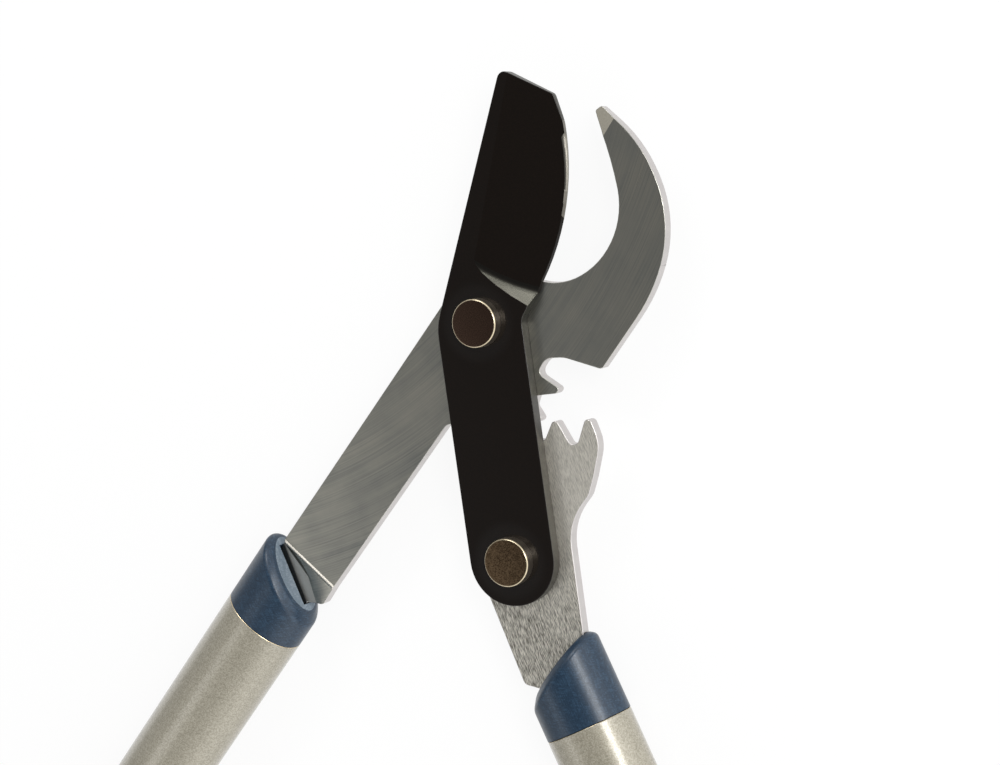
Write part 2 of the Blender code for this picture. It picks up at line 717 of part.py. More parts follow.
def round_slanted_end(mesh, outward):
    """Slant the collar's end and round its rim."""
    model = bmesh.new()
    model.from_mesh(mesh)
    top = COLLAR_MIDDLE * MM
    slope = outward * tan(radians(COLLAR_SLANT))
    ends = [vertex for vertex in model.verts if abs(vertex.co.y - top) < 0.01 * MM]
    for vertex in ends:
        vertex.co.y += slope * vertex.co.x
    rim = [
        edge for edge in model.edges
        if all(vertex in ends for vertex in edge.verts) and len(edge.link_faces) == 2
        and edge.calc_face_angle() > radians(30)
    ]
    bmesh.ops.bevel(
        model, geom=rim, offset=COLLAR_ROUNDING * MM, segments=COLLAR_ROUNDING_STEPS, profile=0.5,
        affect="EDGES",
    )
    model.to_mesh(mesh)
    model.free()
    smooth(mesh)


def add_collar(handle, parent, plastic):
    """Collar with a slanted end, and the insert that holds the tang in the tube."""
    insert_radius = TUBE_BORE - CLEARANCE
    mesh = laid_along_handle(turned([
        (0, COLLAR_MIDDLE), (TUBE_RADIUS, COLLAR_MIDDLE), (TUBE_RADIUS, 0),
        (insert_radius, 0), (insert_radius, -INSERT_LENGTH), (0, -INSERT_LENGTH),
    ], FINE_STEPS))
    round_slanted_end(mesh, handle.outward)
    collar = piece(handle.side + "_collar", mesh, parent, plastic, AXIS_HEIGHT)
    slot_top = LEVER_THICKNESS / 2 + CLEARANCE
    slot_bottom = -slot_top - TANG_STEP
    slot_half = TANG_HALF_WIDTH + CLEARANCE
    slot_middle = (slot_top + slot_bottom) / 2
    slot_height = slot_top - slot_bottom
    head_end = 2 * COLLAR_MIDDLE
    slot_length = head_end + INSERT_LENGTH + THROUGH
    slot = box(
        (0, head_end - slot_length / 2, slot_middle), (2 * slot_half, slot_length, slot_height),
    )
    combine(collar, piece(handle.side + "_slot", slot, parent, height=AXIS_HEIGHT))
    mouth = box(
        (handle.outward * SLOT_MOUTH_OUTER / 2, (head_end + SLOT_MOUTH_DEPTH) / 2, slot_middle),
        (SLOT_MOUTH_OUTER, head_end - SLOT_MOUTH_DEPTH, slot_height),
    )
    combine(collar, piece(handle.side + "_slot_mouth", mouth, parent, height=AXIS_HEIGHT))
    return collar


def add_rivets(handle, parent, riveted, steel):
    """Rivets through tube, insert and tang, and their holes."""
    seat = TUBE_HEIGHT / 2 + CLEARANCE
    top = seat + RIVET_HEAD_HEIGHT
    upper = [
        (0, top), (RIVET_CROWN_RADIUS, top - RIVET_CROWN_DROP),
        (RIVET_HEAD_RADIUS, seat), (RIVET_RADIUS, seat),
    ]
    lower = [(radius, -height) for radius, height in reversed(upper)]
    hole = RIVET_RADIUS + CLEARANCE
    for place, distance in RIVETS.items():
        rivet = piece(
            f"{handle.side}_rivet_{place}", turned(upper + lower, RIVET_STEPS), parent, steel,
            AXIS_HEIGHT,
        )
        rivet.location.y = -distance * MM
        cutter = piece(
            f"{handle.side}_rivet_{place}_hole", cylinder(hole, 2 * AXIS_HEIGHT, RIVET_STEPS),
            parent,
        )
        cutter.location.y = -distance * MM
        for target in riveted:
            combine(target, cutter)


def add_tube(handle, parent, paint):
    """Oval tube from the collar to the end cap."""
    mesh = laid_along_handle(turned([
        (TUBE_RADIUS, -CLEARANCE), (TUBE_RADIUS, -TUBE_LENGTH),
        (TUBE_BORE, -TUBE_LENGTH), (TUBE_BORE, -CLEARANCE),
    ], FINE_STEPS, closed=True))
    return piece(handle.side + "_tube", mesh, parent, paint, AXIS_HEIGHT)


def grip_radius(distance):
    """Outer radius of the grip: it grows toward the hand's end and swells in between."""
    share = (distance - GRIP_START) / (GRIP_END - GRIP_START)
    growth = (GRIP_RADIUS - GRIP_MOUTH_RADIUS) * sqrt(share)
    return GRIP_MOUTH_RADIUS + growth - GRIP_SWELL * sin(pi * share) ** 2 * share


def add_grip(handle, parent, plastic, rubber):
    """Hard grip body, the soft band let into it and the end cap."""
    bore = TUBE_RADIUS + CLEARANCE
    groove = SLEEVE_THICKNESS + CLEARANCE
    front = [GRIP_START + GRIP_MOUTH_ROUNDING, (GRIP_START + SLEEVE_START) / 2, SLEEVE_START]
    rear = [SLEEVE_END, (SLEEVE_END + GRIP_END) / 2, GRIP_END - GRIP_MOUTH_ROUNDING]
    body = [(bore, -GRIP_START), (GRIP_MOUTH_RADIUS - GRIP_MOUTH_ROUNDING / 2, -GRIP_START)]
    body += [(grip_radius(distance), -distance) for distance in front]
    body += [(grip_radius(distance) - groove, -distance) for distance in (SLEEVE_START, SLEEVE_END)]
    body += [(grip_radius(distance), -distance) for distance in rear]
    body += [(GRIP_RADIUS - GRIP_MOUTH_ROUNDING, -GRIP_END), (bore, -GRIP_END)]
    mesh = laid_along_handle(turned(body, FINE_STEPS, closed=True))
    piece(handle.side + "_grip", mesh, parent, plastic, AXIS_HEIGHT)

    start = SLEEVE_START + CLEARANCE
    end = SLEEVE_END - CLEARANCE
    seat_start = grip_radius(SLEEVE_START) - SLEEVE_THICKNESS
    seat_end = grip_radius(SLEEVE_END) - SLEEVE_THICKNESS
    stations = [start + (end - start) * step / 5 for step in range(6)]
    band = [(grip_radius(distance), -distance) for distance in stations]
    band += [(seat_end, -end), (seat_start, -start)]
    mesh = laid_along_handle(turned(band, FINE_STEPS, closed=True))
    piece(handle.side + "_soft_sleeve", mesh, parent, rubber, AXIS_HEIGHT)

    cap_start = GRIP_END + CLEARANCE
    cap_end = cap_start + CAP_THICKNESS
    plug = TUBE_BORE - CLEARANCE
    cap = [
        (0, CAP_PLUG_LENGTH - GRIP_END), (plug, CAP_PLUG_LENGTH - GRIP_END), (plug, -cap_start),
        (GRIP_RADIUS - GRIP_MOUTH_ROUNDING, -cap_start),
        (GRIP_RADIUS - GRIP_MOUTH_ROUNDING, CAP_ROUNDING - cap_end),
        (GRIP_RADIUS - CAP_ROUNDING, -cap_end), (0, -cap_end),
    ]
    mesh = laid_along_handle(turned(cap, FINE_STEPS))
    piece(handle.side + "_end_cap", mesh, parent, plastic, AXIS_HEIGHT)


def add_handle(handle, lever_side, finishes):
    """All pieces of one handle, in the frame at its seam."""
    at_seam = frame(handle.side + "_handle_frame", lever_side, handle.at(0, 0), handle.turn)
    collar = add_collar(handle, at_seam, finishes["collar"])
    tube = add_tube(handle, at_seam, finishes["paint"])
    add_rivets(handle, at_seam, (collar, tube), finishes["zinc"])
    add_grip(handle, at_seam, finishes["grip"], finishes["rubber"])


def make_finishes():
    """Materials of the part, by what they cover."""
    return {
        "blade": material("blade_coating", (0.018, 0.016, 0.015), 0.35, 0.2),
        "steel": material("ground_steel", (0.36, 0.35, 0.32), 0.38, 1.0),
        "bolt": material("browned_steel", (0.20, 0.16, 0.12), 0.3, 1.0),
        "zinc": material("zinc_plating", (0.55, 0.54, 0.5), 0.35, 1.0),
        "bronze": material("bush_bronze", (0.52, 0.33, 0.14), 0.4, 1.0),
        "nylon": material("nylon", (0.78, 0.77, 0.72), 0.45, 0.0),
        "collar": material("collar_plastic", (0.10, 0.15, 0.21), 0.45, 0.0),
        "paint": material("tube_paint", (0.60, 0.57, 0.50), 0.4, 0.5),
        "grip": material("grip_plastic", (0.09, 0.13, 0.18), 0.5, 0.0),
        "rubber": material("grip_rubber", (0.03, 0.03, 0.035), 0.75, 0.0),
    }


def main():
    """Build the lopper with its jaws part open, as photographed."""
    empty_scene()
    finishes = make_finishes()
    hook_side = frame("hook_side", turn=LINK_TURN)
    jaw_axis = frame("jaw_pivot_axis", turn=LINK_TURN)
    link_axis = frame("link_pivot_axis", jaw_axis, (0, -PIVOT_DISTANCE))
    link_on_blade = frame("link_pivot_on_blade", jaw_axis, (0, -PIVOT_DISTANCE))
    add_hook_lever(hook_side, finishes["steel"])
    add_gear_lever(link_axis, finishes["steel"])
    add_blade(jaw_axis, finishes["blade"])
    add_pivot("jaw", "hook_lever", jaw_axis, hook_side, finishes)
    add_pivot("link", "gear_lever", link_on_blade, link_axis, finishes)
    add_handle(LEFT, hook_side, finishes)
    add_handle(RIGHT, link_axis, finishes)
    bpy.context.view_layer.update()


main()
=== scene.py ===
"""Dresses the geared bypass lopper and sets it in a plain white studio.

Lengths are in millimetres and become metres by MM. The plates are copies of the
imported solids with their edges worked, and every other piece is modelled here at
the place of the solid that it stands for.
"""
import logging  # noqa: E402
from contextlib import contextmanager  # noqa: E402
from dataclasses import dataclass  # noqa: E402
from enum import Enum  # noqa: E402
from itertools import pairwise  # noqa: E402
from math import cos, hypot, pi, radians, sin, sqrt, tan  # noqa: E402
from typing import Any, Callable, Iterator, Sequence  # noqa: E402

import bmesh  # noqa: E402
import bpy  # noqa: E402
from mathutils import Matrix, Vector  # noqa: E402


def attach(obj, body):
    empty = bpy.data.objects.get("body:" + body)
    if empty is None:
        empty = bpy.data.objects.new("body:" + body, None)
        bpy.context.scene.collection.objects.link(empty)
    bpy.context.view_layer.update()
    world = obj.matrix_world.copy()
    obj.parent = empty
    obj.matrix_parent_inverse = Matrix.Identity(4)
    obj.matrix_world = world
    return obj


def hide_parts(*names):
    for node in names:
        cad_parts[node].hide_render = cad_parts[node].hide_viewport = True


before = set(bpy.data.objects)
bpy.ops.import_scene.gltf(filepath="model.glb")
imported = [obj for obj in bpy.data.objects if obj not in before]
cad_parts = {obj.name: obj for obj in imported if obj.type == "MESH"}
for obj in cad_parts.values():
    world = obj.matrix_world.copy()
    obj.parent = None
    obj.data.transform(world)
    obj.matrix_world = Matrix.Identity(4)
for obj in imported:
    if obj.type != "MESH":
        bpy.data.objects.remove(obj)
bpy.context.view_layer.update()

Edge = bmesh.types.BMEdge
Piece = bpy.types.Object
Socket = bpy.types.NodeSocket
Tree = bpy.types.NodeTree

MM = 0.001
WELD_DISTANCE = 0.002 * MM
FLAT = 0.9995  # least upward part of the normal of a plate's flat face
AXIS_HEIGHT = 14.0  # the middle plane of both levers and both handles
LEVER_TOP = 16.0
BLADE_TOP = 20.1
SECTION_FLATNESS = 22.6 / 29.0  # height of the oval tube by its width
LINK_TURN = radians(13.0)
LINK_CENTRE = (16.534, -71.616)  # the lower bolt, 73.5 mm from the upper one at the origin
LEFT_SEAM = (-74.55, -107.417)
RIGHT_SEAM = (44.46, -119.139)
HANDLE_TURN = 32.0
CLEARANCE = 0.3

log = logging.getLogger("lopper")


class Body(Enum):
    """The three bodies that move against each other."""

    HOOK_SIDE = "hook_side"
    BLADE_LINK = "blade_link"
    GEAR_SIDE = "gear_side"


class Pick(Enum):
    """What is selected in edit mode."""

    CORNERS = "VERT"
    EDGES = "EDGE"


class Join(Enum):
    """How a tool body acts on a piece."""

    CUT = "DIFFERENCE"
    FUSE = "UNION"
    KEEP_COMMON = "INTERSECT"


# Workbench: the few modelling moves that every piece is made with


def metres(*lengths: float) -> tuple[float, ...]:
    """Turn lengths in millimetres into metres."""
    return tuple(length * MM for length in lengths)


def only(piece: Piece) -> None:
    """Select one object and nothing else.

    Args:
        piece: The object to select and to make active.
    """
    bpy.ops.object.select_all(action="DESELECT")
    piece.hide_set(False)
    piece.select_set(True)
    bpy.context.view_layer.objects.active = piece


@contextmanager
def editing(piece: Piece, pick: Pick) -> Iterator[None]:
    """Open a piece in edit mode with nothing selected.

    Args:
        piece: The mesh object to edit.
        pick: What is going to be selected.
    """
    only(piece)
    bpy.ops.object.mode_set(mode="EDIT")
    bpy.ops.mesh.select_mode(type=pick.value)
    bpy.ops.mesh.select_all(action="DESELECT")
    yield
    bpy.ops.object.mode_set(mode="OBJECT")


def pick_edges(piece: Piece, test: Callable[[Edge], bool]) -> int:
    """Select the edges of the piece in edit mode that pass a test.

    Args:
        piece: The mesh object that is being edited.
        test: Says for an edge whether it is wanted.

    Returns:
        How many edges are selected.
    """
    mesh = bmesh.from_edit_mesh(piece.data)
    chosen = [edge for edge in mesh.edges if test(edge)]
    for edge in chosen:
        edge.select_set(True)
    bmesh.update_edit_mesh(piece.data)
    return len(chosen)


def turned_by(edge: Edge) -> float:
    """Return the angle between the two faces of an edge, or 0 at a rim."""
    return edge.calc_face_angle(0.0) if len(edge.link_faces) == 2 else 0.0


def middle_of(edge: Edge) -> Vector:
    """Return the middle of an edge in millimetres."""
    return (edge.verts[0].co + edge.verts[1].co) / 2 / MM


def round_edges(
    piece: Piece,
    width: float,
    segments: int = 3,
    sharper_than: float = 35.0,
    where: Callable[[Vector], bool] = lambda middle: True,
) -> None:
    """Bevel the edges of a piece that are sharp enough and in the right place.

    Args:
        piece: The mesh object.
        width: Width of the bevel in millimetres.
        segments: Number of facets across the bevel.
        sharper_than: Least angle in degrees between the faces of an edge.
        where: Says for the middle of an edge, in millimetres, whether it is wanted.
    """
    least = radians(sharper_than)
    with editing(piece, Pick.EDGES):
        if pick_edges(piece, lambda edge: turned_by(edge) > least and where(middle_of(edge))):
            bpy.ops.mesh.bevel(
                offset=width * MM, segments=segments, profile=0.5, affect="EDGES",
                clamp_overlap=False,
            )


def smooth(
    piece: Piece,
    angle: float = 32.0,
    crisp: Callable[[Edge], bool] = lambda edge: False,
) -> None:
    """Shade a piece smooth, with its sharper edges kept and its large faces left flat.

    Args:
        piece: The mesh object.
        angle: Angle in degrees above which an edge stays sharp.
        crisp: Says for an edge whether it stays sharp although its angle is smaller.
    """
    only(piece)
    bpy.ops.object.shade_smooth_by_angle(angle=radians(angle))
    with editing(piece, Pick.EDGES):
        if pick_edges(piece, crisp):
            bpy.ops.mesh.mark_sharp()
    only(piece)
    weighted = piece.modifiers.new("weighted", "WEIGHTED_NORMAL")
    weighted.keep_sharp = True
    bpy.ops.object.modifier_apply(modifier=weighted.name)


def leaves_plate_face(edge: Edge) -> bool:
    """Say whether an edge bounds a plate's flat upper face."""
    heights = sorted(face.normal.z for face in edge.link_faces)
    return heights[0] < FLAT < heights[-1]


def settle(piece: Piece, placement: Matrix) -> None:
    """Move a piece by a placement and bake its place into its mesh.

    Args:
        piece: The mesh object.
        placement: The move, in metres, that comes on top of the object's own place.
    """
    only(piece)
    piece.matrix_world = placement @ piece.matrix_world
    bpy.ops.object.transform_apply(location=True, rotation=True, scale=True)


def spun(name: str, profile: Sequence[tuple[float, float]], steps: int = 96) -> Piece:
    """Spin a profile about Z, as a lathe would turn the piece.

    Args:
        name: Name of the new object.
        profile: Points of (radius, height) in millimetres. A ring ends at its first point.
        steps: Number of facets around the axis.

    Returns:
        The new object, closed and with its faces outward.
    """
    bpy.ops.object.select_all(action="DESELECT")
    bpy.ops.mesh.primitive_plane_add(size=MM, location=(0, 0, 0))
    piece = bpy.context.active_object
    piece.name = name
    radius, height = profile[0]
    with editing(piece, Pick.CORNERS):
        bpy.ops.mesh.select_all(action="SELECT")
        bpy.ops.mesh.merge(type="CENTER")
        bpy.ops.transform.translate(value=(radius * MM, 0, height * MM))
        for (from_radius, from_height), (to_radius, to_height) in pairwise(profile):
            step = ((to_radius - from_radius) * MM, 0, (to_height - from_height) * MM)
            bpy.ops.mesh.extrude_vertices_move(TRANSFORM_OT_translate={"value": step})
        bpy.ops.mesh.select_all(action="SELECT")
        bpy.ops.mesh.spin(steps=steps, angle=2 * pi, center=(0, 0, 0), axis=(0, 0, 1))
        bpy.ops.mesh.select_all(action="SELECT")
        bpy.ops.mesh.remove_doubles(threshold=WELD_DISTANCE)
        bpy.ops.mesh.normals_make_consistent(inside=False)
    return piece


def block(name: str, low: Sequence[float], high: Sequence[float]) -> Piece:
    """Add a box, for cutting with.

    Args:
        name: Name of the new object.
        low: The corner with the least coordinates, in millimetres.
        high: The corner with the greatest coordinates, in millimetres.

    Returns:
        The new object.
    """
    middle = [(a + b) / 2 * MM for a, b in zip(low, high)]
    size = [(b - a) * MM for a, b in zip(low, high)]
    bpy.ops.object.select_all(action="DESELECT")
    bpy.ops.mesh.primitive_cube_add(size=1.0, location=middle, scale=size)
    made = bpy.context.active_object
    made.name = name
    return made


def carve(piece: Piece, tool: Piece, join: Join = Join.CUT) -> None:
    """Combine a piece with a tool body by a Boolean and remove the tool.

    Args:
        piece: The mesh object to work on.
        tool: The body that acts on it.
        join: What the tool does to the piece.
    """
    only(piece)
    cut = piece.modifiers.new("cut", "BOOLEAN")
    cut.object = tool
    cut.operation = join.value
    cut.solver = "EXACT"
    bpy.ops.object.modifier_apply(modifier=cut.name)
    bpy.data.objects.remove(tool)


def repeated(piece: Piece, name: str) -> Piece:
    """Copy a modelled piece, with a mesh of its own.

    Args:
        piece: The piece to copy.
        name: Name of the copy.

    Returns:
        The copy.
    """
    copy = piece.copy()
    copy.data = piece.data.copy()
    copy.name = name
    bpy.context.scene.collection.objects.link(copy)
    return copy


def copied_node(node: str, name: str) -> Piece:
    """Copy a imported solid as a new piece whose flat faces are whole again.

    Args:
        node: Name of the CAD node.
        name: Name of the new piece.

    Returns:
        The new object, merged and free of the imported normals.
    """
    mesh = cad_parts[node].data.copy()
    piece = bpy.data.objects.new(name, mesh)
    bpy.context.scene.collection.objects.link(piece)
    only(piece)
    bpy.ops.mesh.customdata_custom_splitnormals_clear()
    with editing(piece, Pick.CORNERS):
        bpy.ops.mesh.select_all(action="SELECT")
        bpy.ops.mesh.remove_doubles(threshold=WELD_DISTANCE)
        bpy.ops.mesh.mark_sharp(clear=True)
        bpy.ops.mesh.dissolve_limited(angle_limit=radians(0.3))
    return piece


# Finishes: what each surface is made of


def linear(hex_colour: str) -> tuple[float, float, float, float]:
    """Turn an sRGB hex colour into a linear one.

    Args:
        hex_colour: The colour as #rrggbb.

    Returns:
        Red, green, blue and an alpha of 1, each from 0 to 1.
    """
    shares = [int(hex_colour[start:start + 2], 16) / 255 for start in (1, 3, 5)]
    red, green, blue = [
        share / 12.92 if share <= 0.04045 else ((share + 0.055) / 1.055) ** 2.4
        for share in shares
    ]
    return red, green, blue, 1.0


def add_node(
    tree: Tree,
    kind: str,
    settings: dict[str, Any] | None = None,
    inputs: dict[str | int, Any] | None = None,
) -> bpy.types.Node:
    """Add a node with its settings, and set or link its inputs.

    Args:
        tree: The node tree.
        kind: The node's type.
        settings: Properties of the node by name.
        inputs: Values, or sockets to link from, by the input's name or number.

    Returns:
        The new node.
    """
    node = tree.nodes.new(kind)
    for name, value in (settings or {}).items():
        setattr(node, name, value)
    for name, value in (inputs or {}).items():
        if isinstance(value, Socket):
            tree.links.new(value, node.inputs[name])
        else:
            node.inputs[name].default_value = value
    return node


SOFT_STEP = {"interpolation_type": "SMOOTHSTEP"}


@dataclass(frozen=True)
class Finish:
    """A finish with one main colour, varied by a pattern.

    A subclass draws its pattern from 0 to 1. The pattern runs the colour from
    low to high, runs the roughness the same way, and lifts the surface by the
    relief in millimetres.
    """

    name: str
    low: str
    high: str
    roughness: tuple[float, float]
    metallic: float = 0.0
    relief: float = 0.01
    specular: float = 0.5
    coat: float = 0.0
    coat_roughness: float = 0.1

    def pattern(self, tree: Tree, place: Socket) -> Socket:
        """Draw fine even grain.

        Args:
            tree: The material's node tree.
            place: Object coordinates in metres.

        Returns:
            A value from 0 to 1.
        """
        return noise(tree, place, (0.6, 0.6, 0.6), detail=3.0)

    def material(self) -> bpy.types.Material:
        """Make the Blender material, or return the one made before.

        Returns:
            The material, with its pattern, colour, roughness and relief.
        """
        made = bpy.data.materials.get(self.name)
        if made:
            return made
        made = bpy.data.materials.new(self.name)
        made.use_nodes = True
        tree = made.node_tree
        shader = tree.nodes["Principled BSDF"]
        shader.inputs["Metallic"].default_value = self.metallic
        shader.inputs["Specular IOR Level"].default_value = self.specular
        shader.inputs["Coat Weight"].default_value = self.coat
        shader.inputs["Coat Roughness"].default_value = self.coat_roughness
        place = tree.nodes.new("ShaderNodeTexCoord").outputs["Object"]
        drawn = self.pattern(tree, place)
        colour = add_node(
            tree, "ShaderNodeMix", {"data_type": "RGBA"},
            {0: drawn, 6: linear(self.low), 7: linear(self.high)},
        )
        rough = add_node(
            tree, "ShaderNodeMapRange", inputs={
                "Value": drawn, "To Min": self.roughness[0], "To Max": self.roughness[1],
            },
        )
        relief = add_node(
            tree, "ShaderNodeBump", inputs={
                "Height": drawn, "Strength": 1.0, "Distance": self.relief * MM,
            },
        )
        tree.links.new(colour.outputs[2], shader.inputs["Base Color"])
        tree.links.new(rough.outputs[0], shader.inputs["Roughness"])
        tree.links.new(relief.outputs[0], shader.inputs["Normal"])
        return made


def noise(
    tree: Tree,
    place: Socket,
    grain: Sequence[float],
    turn: float = 0.0,
    detail: float = 2.0,
    contrast: float = 1.0,
) -> Socket:
    """Draw noise whose grains have a given size in millimetres.

    Args:
        tree: The material's node tree.
        place: Object coordinates in metres.
        grain: Size of a grain along X, Y and Z in millimetres.
        turn: Turn of the grain about Z in radians.
        detail: Octaves of the noise.
        contrast: How far the noise is stretched about its middle.

    Returns:
        A value from 0 to 1.
    """
    turned = add_node(
        tree, "ShaderNodeVectorRotate", {"rotation_type": "Z_AXIS"},
        {"Vector": place, "Angle": -turn},
    )
    scaled = add_node(
        tree, "ShaderNodeVectorMath", {"operation": "DIVIDE"},
        {0: turned.outputs[0], 1: metres(*grain)},
    )
    texture = add_node(
        tree, "ShaderNodeTexNoise",
        inputs={"Vector": scaled.outputs[0], "Scale": 1.0, "Detail": detail},
    )
    stretched = add_node(
        tree, "ShaderNodeMapRange", inputs={
            "Value": texture.outputs[0],
            "From Min": 0.5 - 0.5 / contrast, "From Max": 0.5 + 0.5 / contrast,
        },
    )
    return stretched.outputs[0]


def layered(
    tree: Tree, base: Socket, *covers: tuple[float | Socket, float | Socket]
) -> Socket:
    """Lay patterns over one another.

    Args:
        tree: The material's node tree.
        base: The pattern underneath.
        covers: The share and the pattern of each layer over it, in order.

    Returns:
        A value from 0 to 1.
    """
    drawn = base
    for share, cover in covers:
        mixed = add_node(
            tree, "ShaderNodeMix", {"data_type": "FLOAT"}, {0: share, 2: drawn, 3: cover}
        )
        drawn = mixed.outputs[0]
    return drawn


@dataclass(frozen=True)
class ArcGroundSteel(Finish):
    """Carbon steel plate, surface-ground by a wide wheel: long shallow arcs, a grey satin gloss."""

    centre: tuple[float, float] = (0.0, 0.0)
    spacing: float = 0.36  # real grinding lines lie 0.05 mm apart, too fine to show

    def pattern(self, tree: Tree, place: Socket) -> Socket:
        """Draw arcs about a far centre, broken along their length.

        Args:
            tree: The material's node tree.
            place: Object coordinates in metres.

        Returns:
            A value from 0 to 1.
        """
        reach = add_node(
            tree, "ShaderNodeVectorMath", {"operation": "DISTANCE"},
            {0: place, 1: metres(*self.centre, AXIS_HEIGHT)},
        )
        parts = add_node(tree, "ShaderNodeSeparateXYZ", inputs={0: place})
        along = add_node(
            tree, "ShaderNodeCombineXYZ",
            inputs={"X": reach.outputs["Value"], "Y": parts.outputs["Y"]},
        ).outputs[0]
        fine = noise(tree, along, (self.spacing, 30.0, 1.0), detail=3.0, contrast=2.6)
        broad = noise(tree, along, (4.0, 90.0, 1.0), detail=3.0, contrast=2.2)
        cloud = noise(tree, place, (14.0, 14.0, 14.0), detail=3.0, contrast=2.4)
        return layered(tree, fine, (0.4, broad), (0.32, cloud))


@dataclass(frozen=True)
class CoarseGroundSteel(Finish):
    """Carbon steel plate, belt-ground along its length: short coarse strokes with bright crests.

    Over a span of Y toward the teeth the strokes are painted fainter and lighter, painted light
    that lifts the shade there.
    """

    turn: float = 0.0
    lightened_span: tuple[float, float] = (-92.0, -58.0)
    lightening: float = 0.5

    def pattern(self, tree: Tree, place: Socket) -> Socket:
        """Draw short strokes along the lever and cloudy patches, painted lighter toward the teeth.

        Args:
            tree: The material's node tree.
            place: Object coordinates in metres.

        Returns:
            A value from 0 to 1.
        """
        strokes = noise(tree, place, (0.28, 2.8, 2.0), self.turn, detail=2.0, contrast=6.0)
        nicks = noise(tree, place, (0.28, 1.4, 2.0), self.turn - 0.2, detail=1.0, contrast=6.0)
        cloud = noise(tree, place, (12.0, 12.0, 12.0), detail=2.0, contrast=2.4)
        parts = add_node(tree, "ShaderNodeSeparateXYZ", inputs={0: place})
        start, end = metres(*self.lightened_span)
        # Painted light: over the lightened span the pattern is lifted toward white
        lightening = add_node(
            tree, "ShaderNodeMapRange", SOFT_STEP,
            {"Value": parts.outputs["Y"], "From Min": start, "From Max": end, "To Max": self.lightening},
        )
        return layered(tree, strokes, (0.3, nicks), (0.16, cloud), (lightening.outputs[0], 1.0))


@dataclass(frozen=True)
class ScuffedNylon(Finish):
    """Moulded glass-filled nylon: a satin skin with a fine grain and a few pale scuffs."""

    def pattern(self, tree: Tree, place: Socket) -> Socket:
        """Draw the skin's grain and short scuffs in two directions.

        Args:
            tree: The material's node tree.
            place: Object coordinates in metres.

        Returns:
            A value from 0 to 1.
        """
        grain = noise(tree, place, (0.45, 0.45, 0.45), detail=3.0, contrast=2.0)
        one_way = noise(tree, place, (0.35, 3.0, 1.5), 0.6, detail=1.0, contrast=6.0)
        other_way = noise(tree, place, (2.2, 0.4, 1.5), 0.2, detail=1.0, contrast=6.0)
        scuffs = add_node(
            tree, "ShaderNodeMath", {"operation": "MULTIPLY"}, {0: one_way, 1: other_way}
        )
        return layered(tree, grain, (0.45, scuffs.outputs[0]))


@dataclass(frozen=True)
class ShearedEdge(Finish):
    """Wall that fine blanking leaves around a plate: pale grey, with soft upright bands."""

    def pattern(self, tree: Tree, place: Socket) -> Socket:
        """Draw soft bands that run through the plate's thickness."""
        return noise(tree, place, (2.5, 2.5, 12.0), detail=2.0)


@dataclass(frozen=True)
class SlopeHighlightCoating(Finish):
    """Coating where the grinding wheel's rim ran out, painted greyer where the surface leaves the
    hollow: a painted highlight on the slope.

    The slope gives the upward part of the surface's normal where the grey
    begins and where it is full.
    """

    slope: tuple[float, float] = (0.988, 0.93)

    def pattern(self, tree: Tree, place: Socket) -> Socket:
        """Draw grain that fades in with the steepness of the surface, a painted highlight.

        Args:
            tree: The material's node tree.
            place: Object coordinates in metres.

        Returns:
            A value from 0 to 1.
        """
        facing = tree.nodes.new("ShaderNodeNewGeometry").outputs["Normal"]
        parts = add_node(tree, "ShaderNodeSeparateXYZ", inputs={0: facing})
        steepness = add_node(
            tree, "ShaderNodeMapRange", SOFT_STEP,
            {"Value": parts.outputs["Z"], "From Min": self.slope[0], "From Max": self.slope[1]},
        ).outputs[0]
        grain = noise(tree, place, (0.5, 0.5, 0.5), detail=3.0)
        drawn = add_node(
            tree, "ShaderNodeMath", {"operation": "MULTIPLY"},
            {0: steepness, 1: layered(tree, grain, (0.7, steepness))},
        )
        return drawn.outputs[0]


@dataclass(frozen=True)
class SlotShadeLand(Finish):
    """Pressed steel with a painted shade line along the lip, where the slot's shadow falls on it.
    """

    lip_place: tuple[float, float] = (-70.08, -81.9)
    lip_facing: float = 28.9
    shaded_width: float = 1.5
    softness: float = 0.4
    unshaded_level: float = 0.9

    def pattern(self, tree: Tree, place: Socket) -> Socket:
        """Draw the painted shade line along the lip, and faint grain past it.

        Args:
            tree: The material's node tree.
            place: Object coordinates in metres.

        Returns:
            A value from 0 to 1.
        """
        past_lip = add_node(
            tree, "ShaderNodeVectorMath", {"operation": "SUBTRACT"},
            {0: place, 1: metres(*self.lip_place, 0.0)},
        )
        facing = radians(self.lip_facing)
        distance = add_node(
            tree, "ShaderNodeVectorMath", {"operation": "DOT_PRODUCT"},
            {0: past_lip.outputs[0], 1: (cos(facing), sin(facing), 0.0)},
        )
        # Painted shade: dark within the shaded width of the lip, the land's own colour beyond it
        unshaded_share = add_node(
            tree, "ShaderNodeMapRange", SOFT_STEP,
            {
                "Value": distance.outputs["Value"],
                "From Min": (self.shaded_width - self.softness) * MM,
                "From Max": (self.shaded_width + self.softness) * MM, "To Max": self.unshaded_level,
            },
        )
        grain = noise(tree, place, (0.8, 0.8, 0.8), detail=3.0)
        return layered(tree, unshaded_share.outputs[0], (0.1, grain))


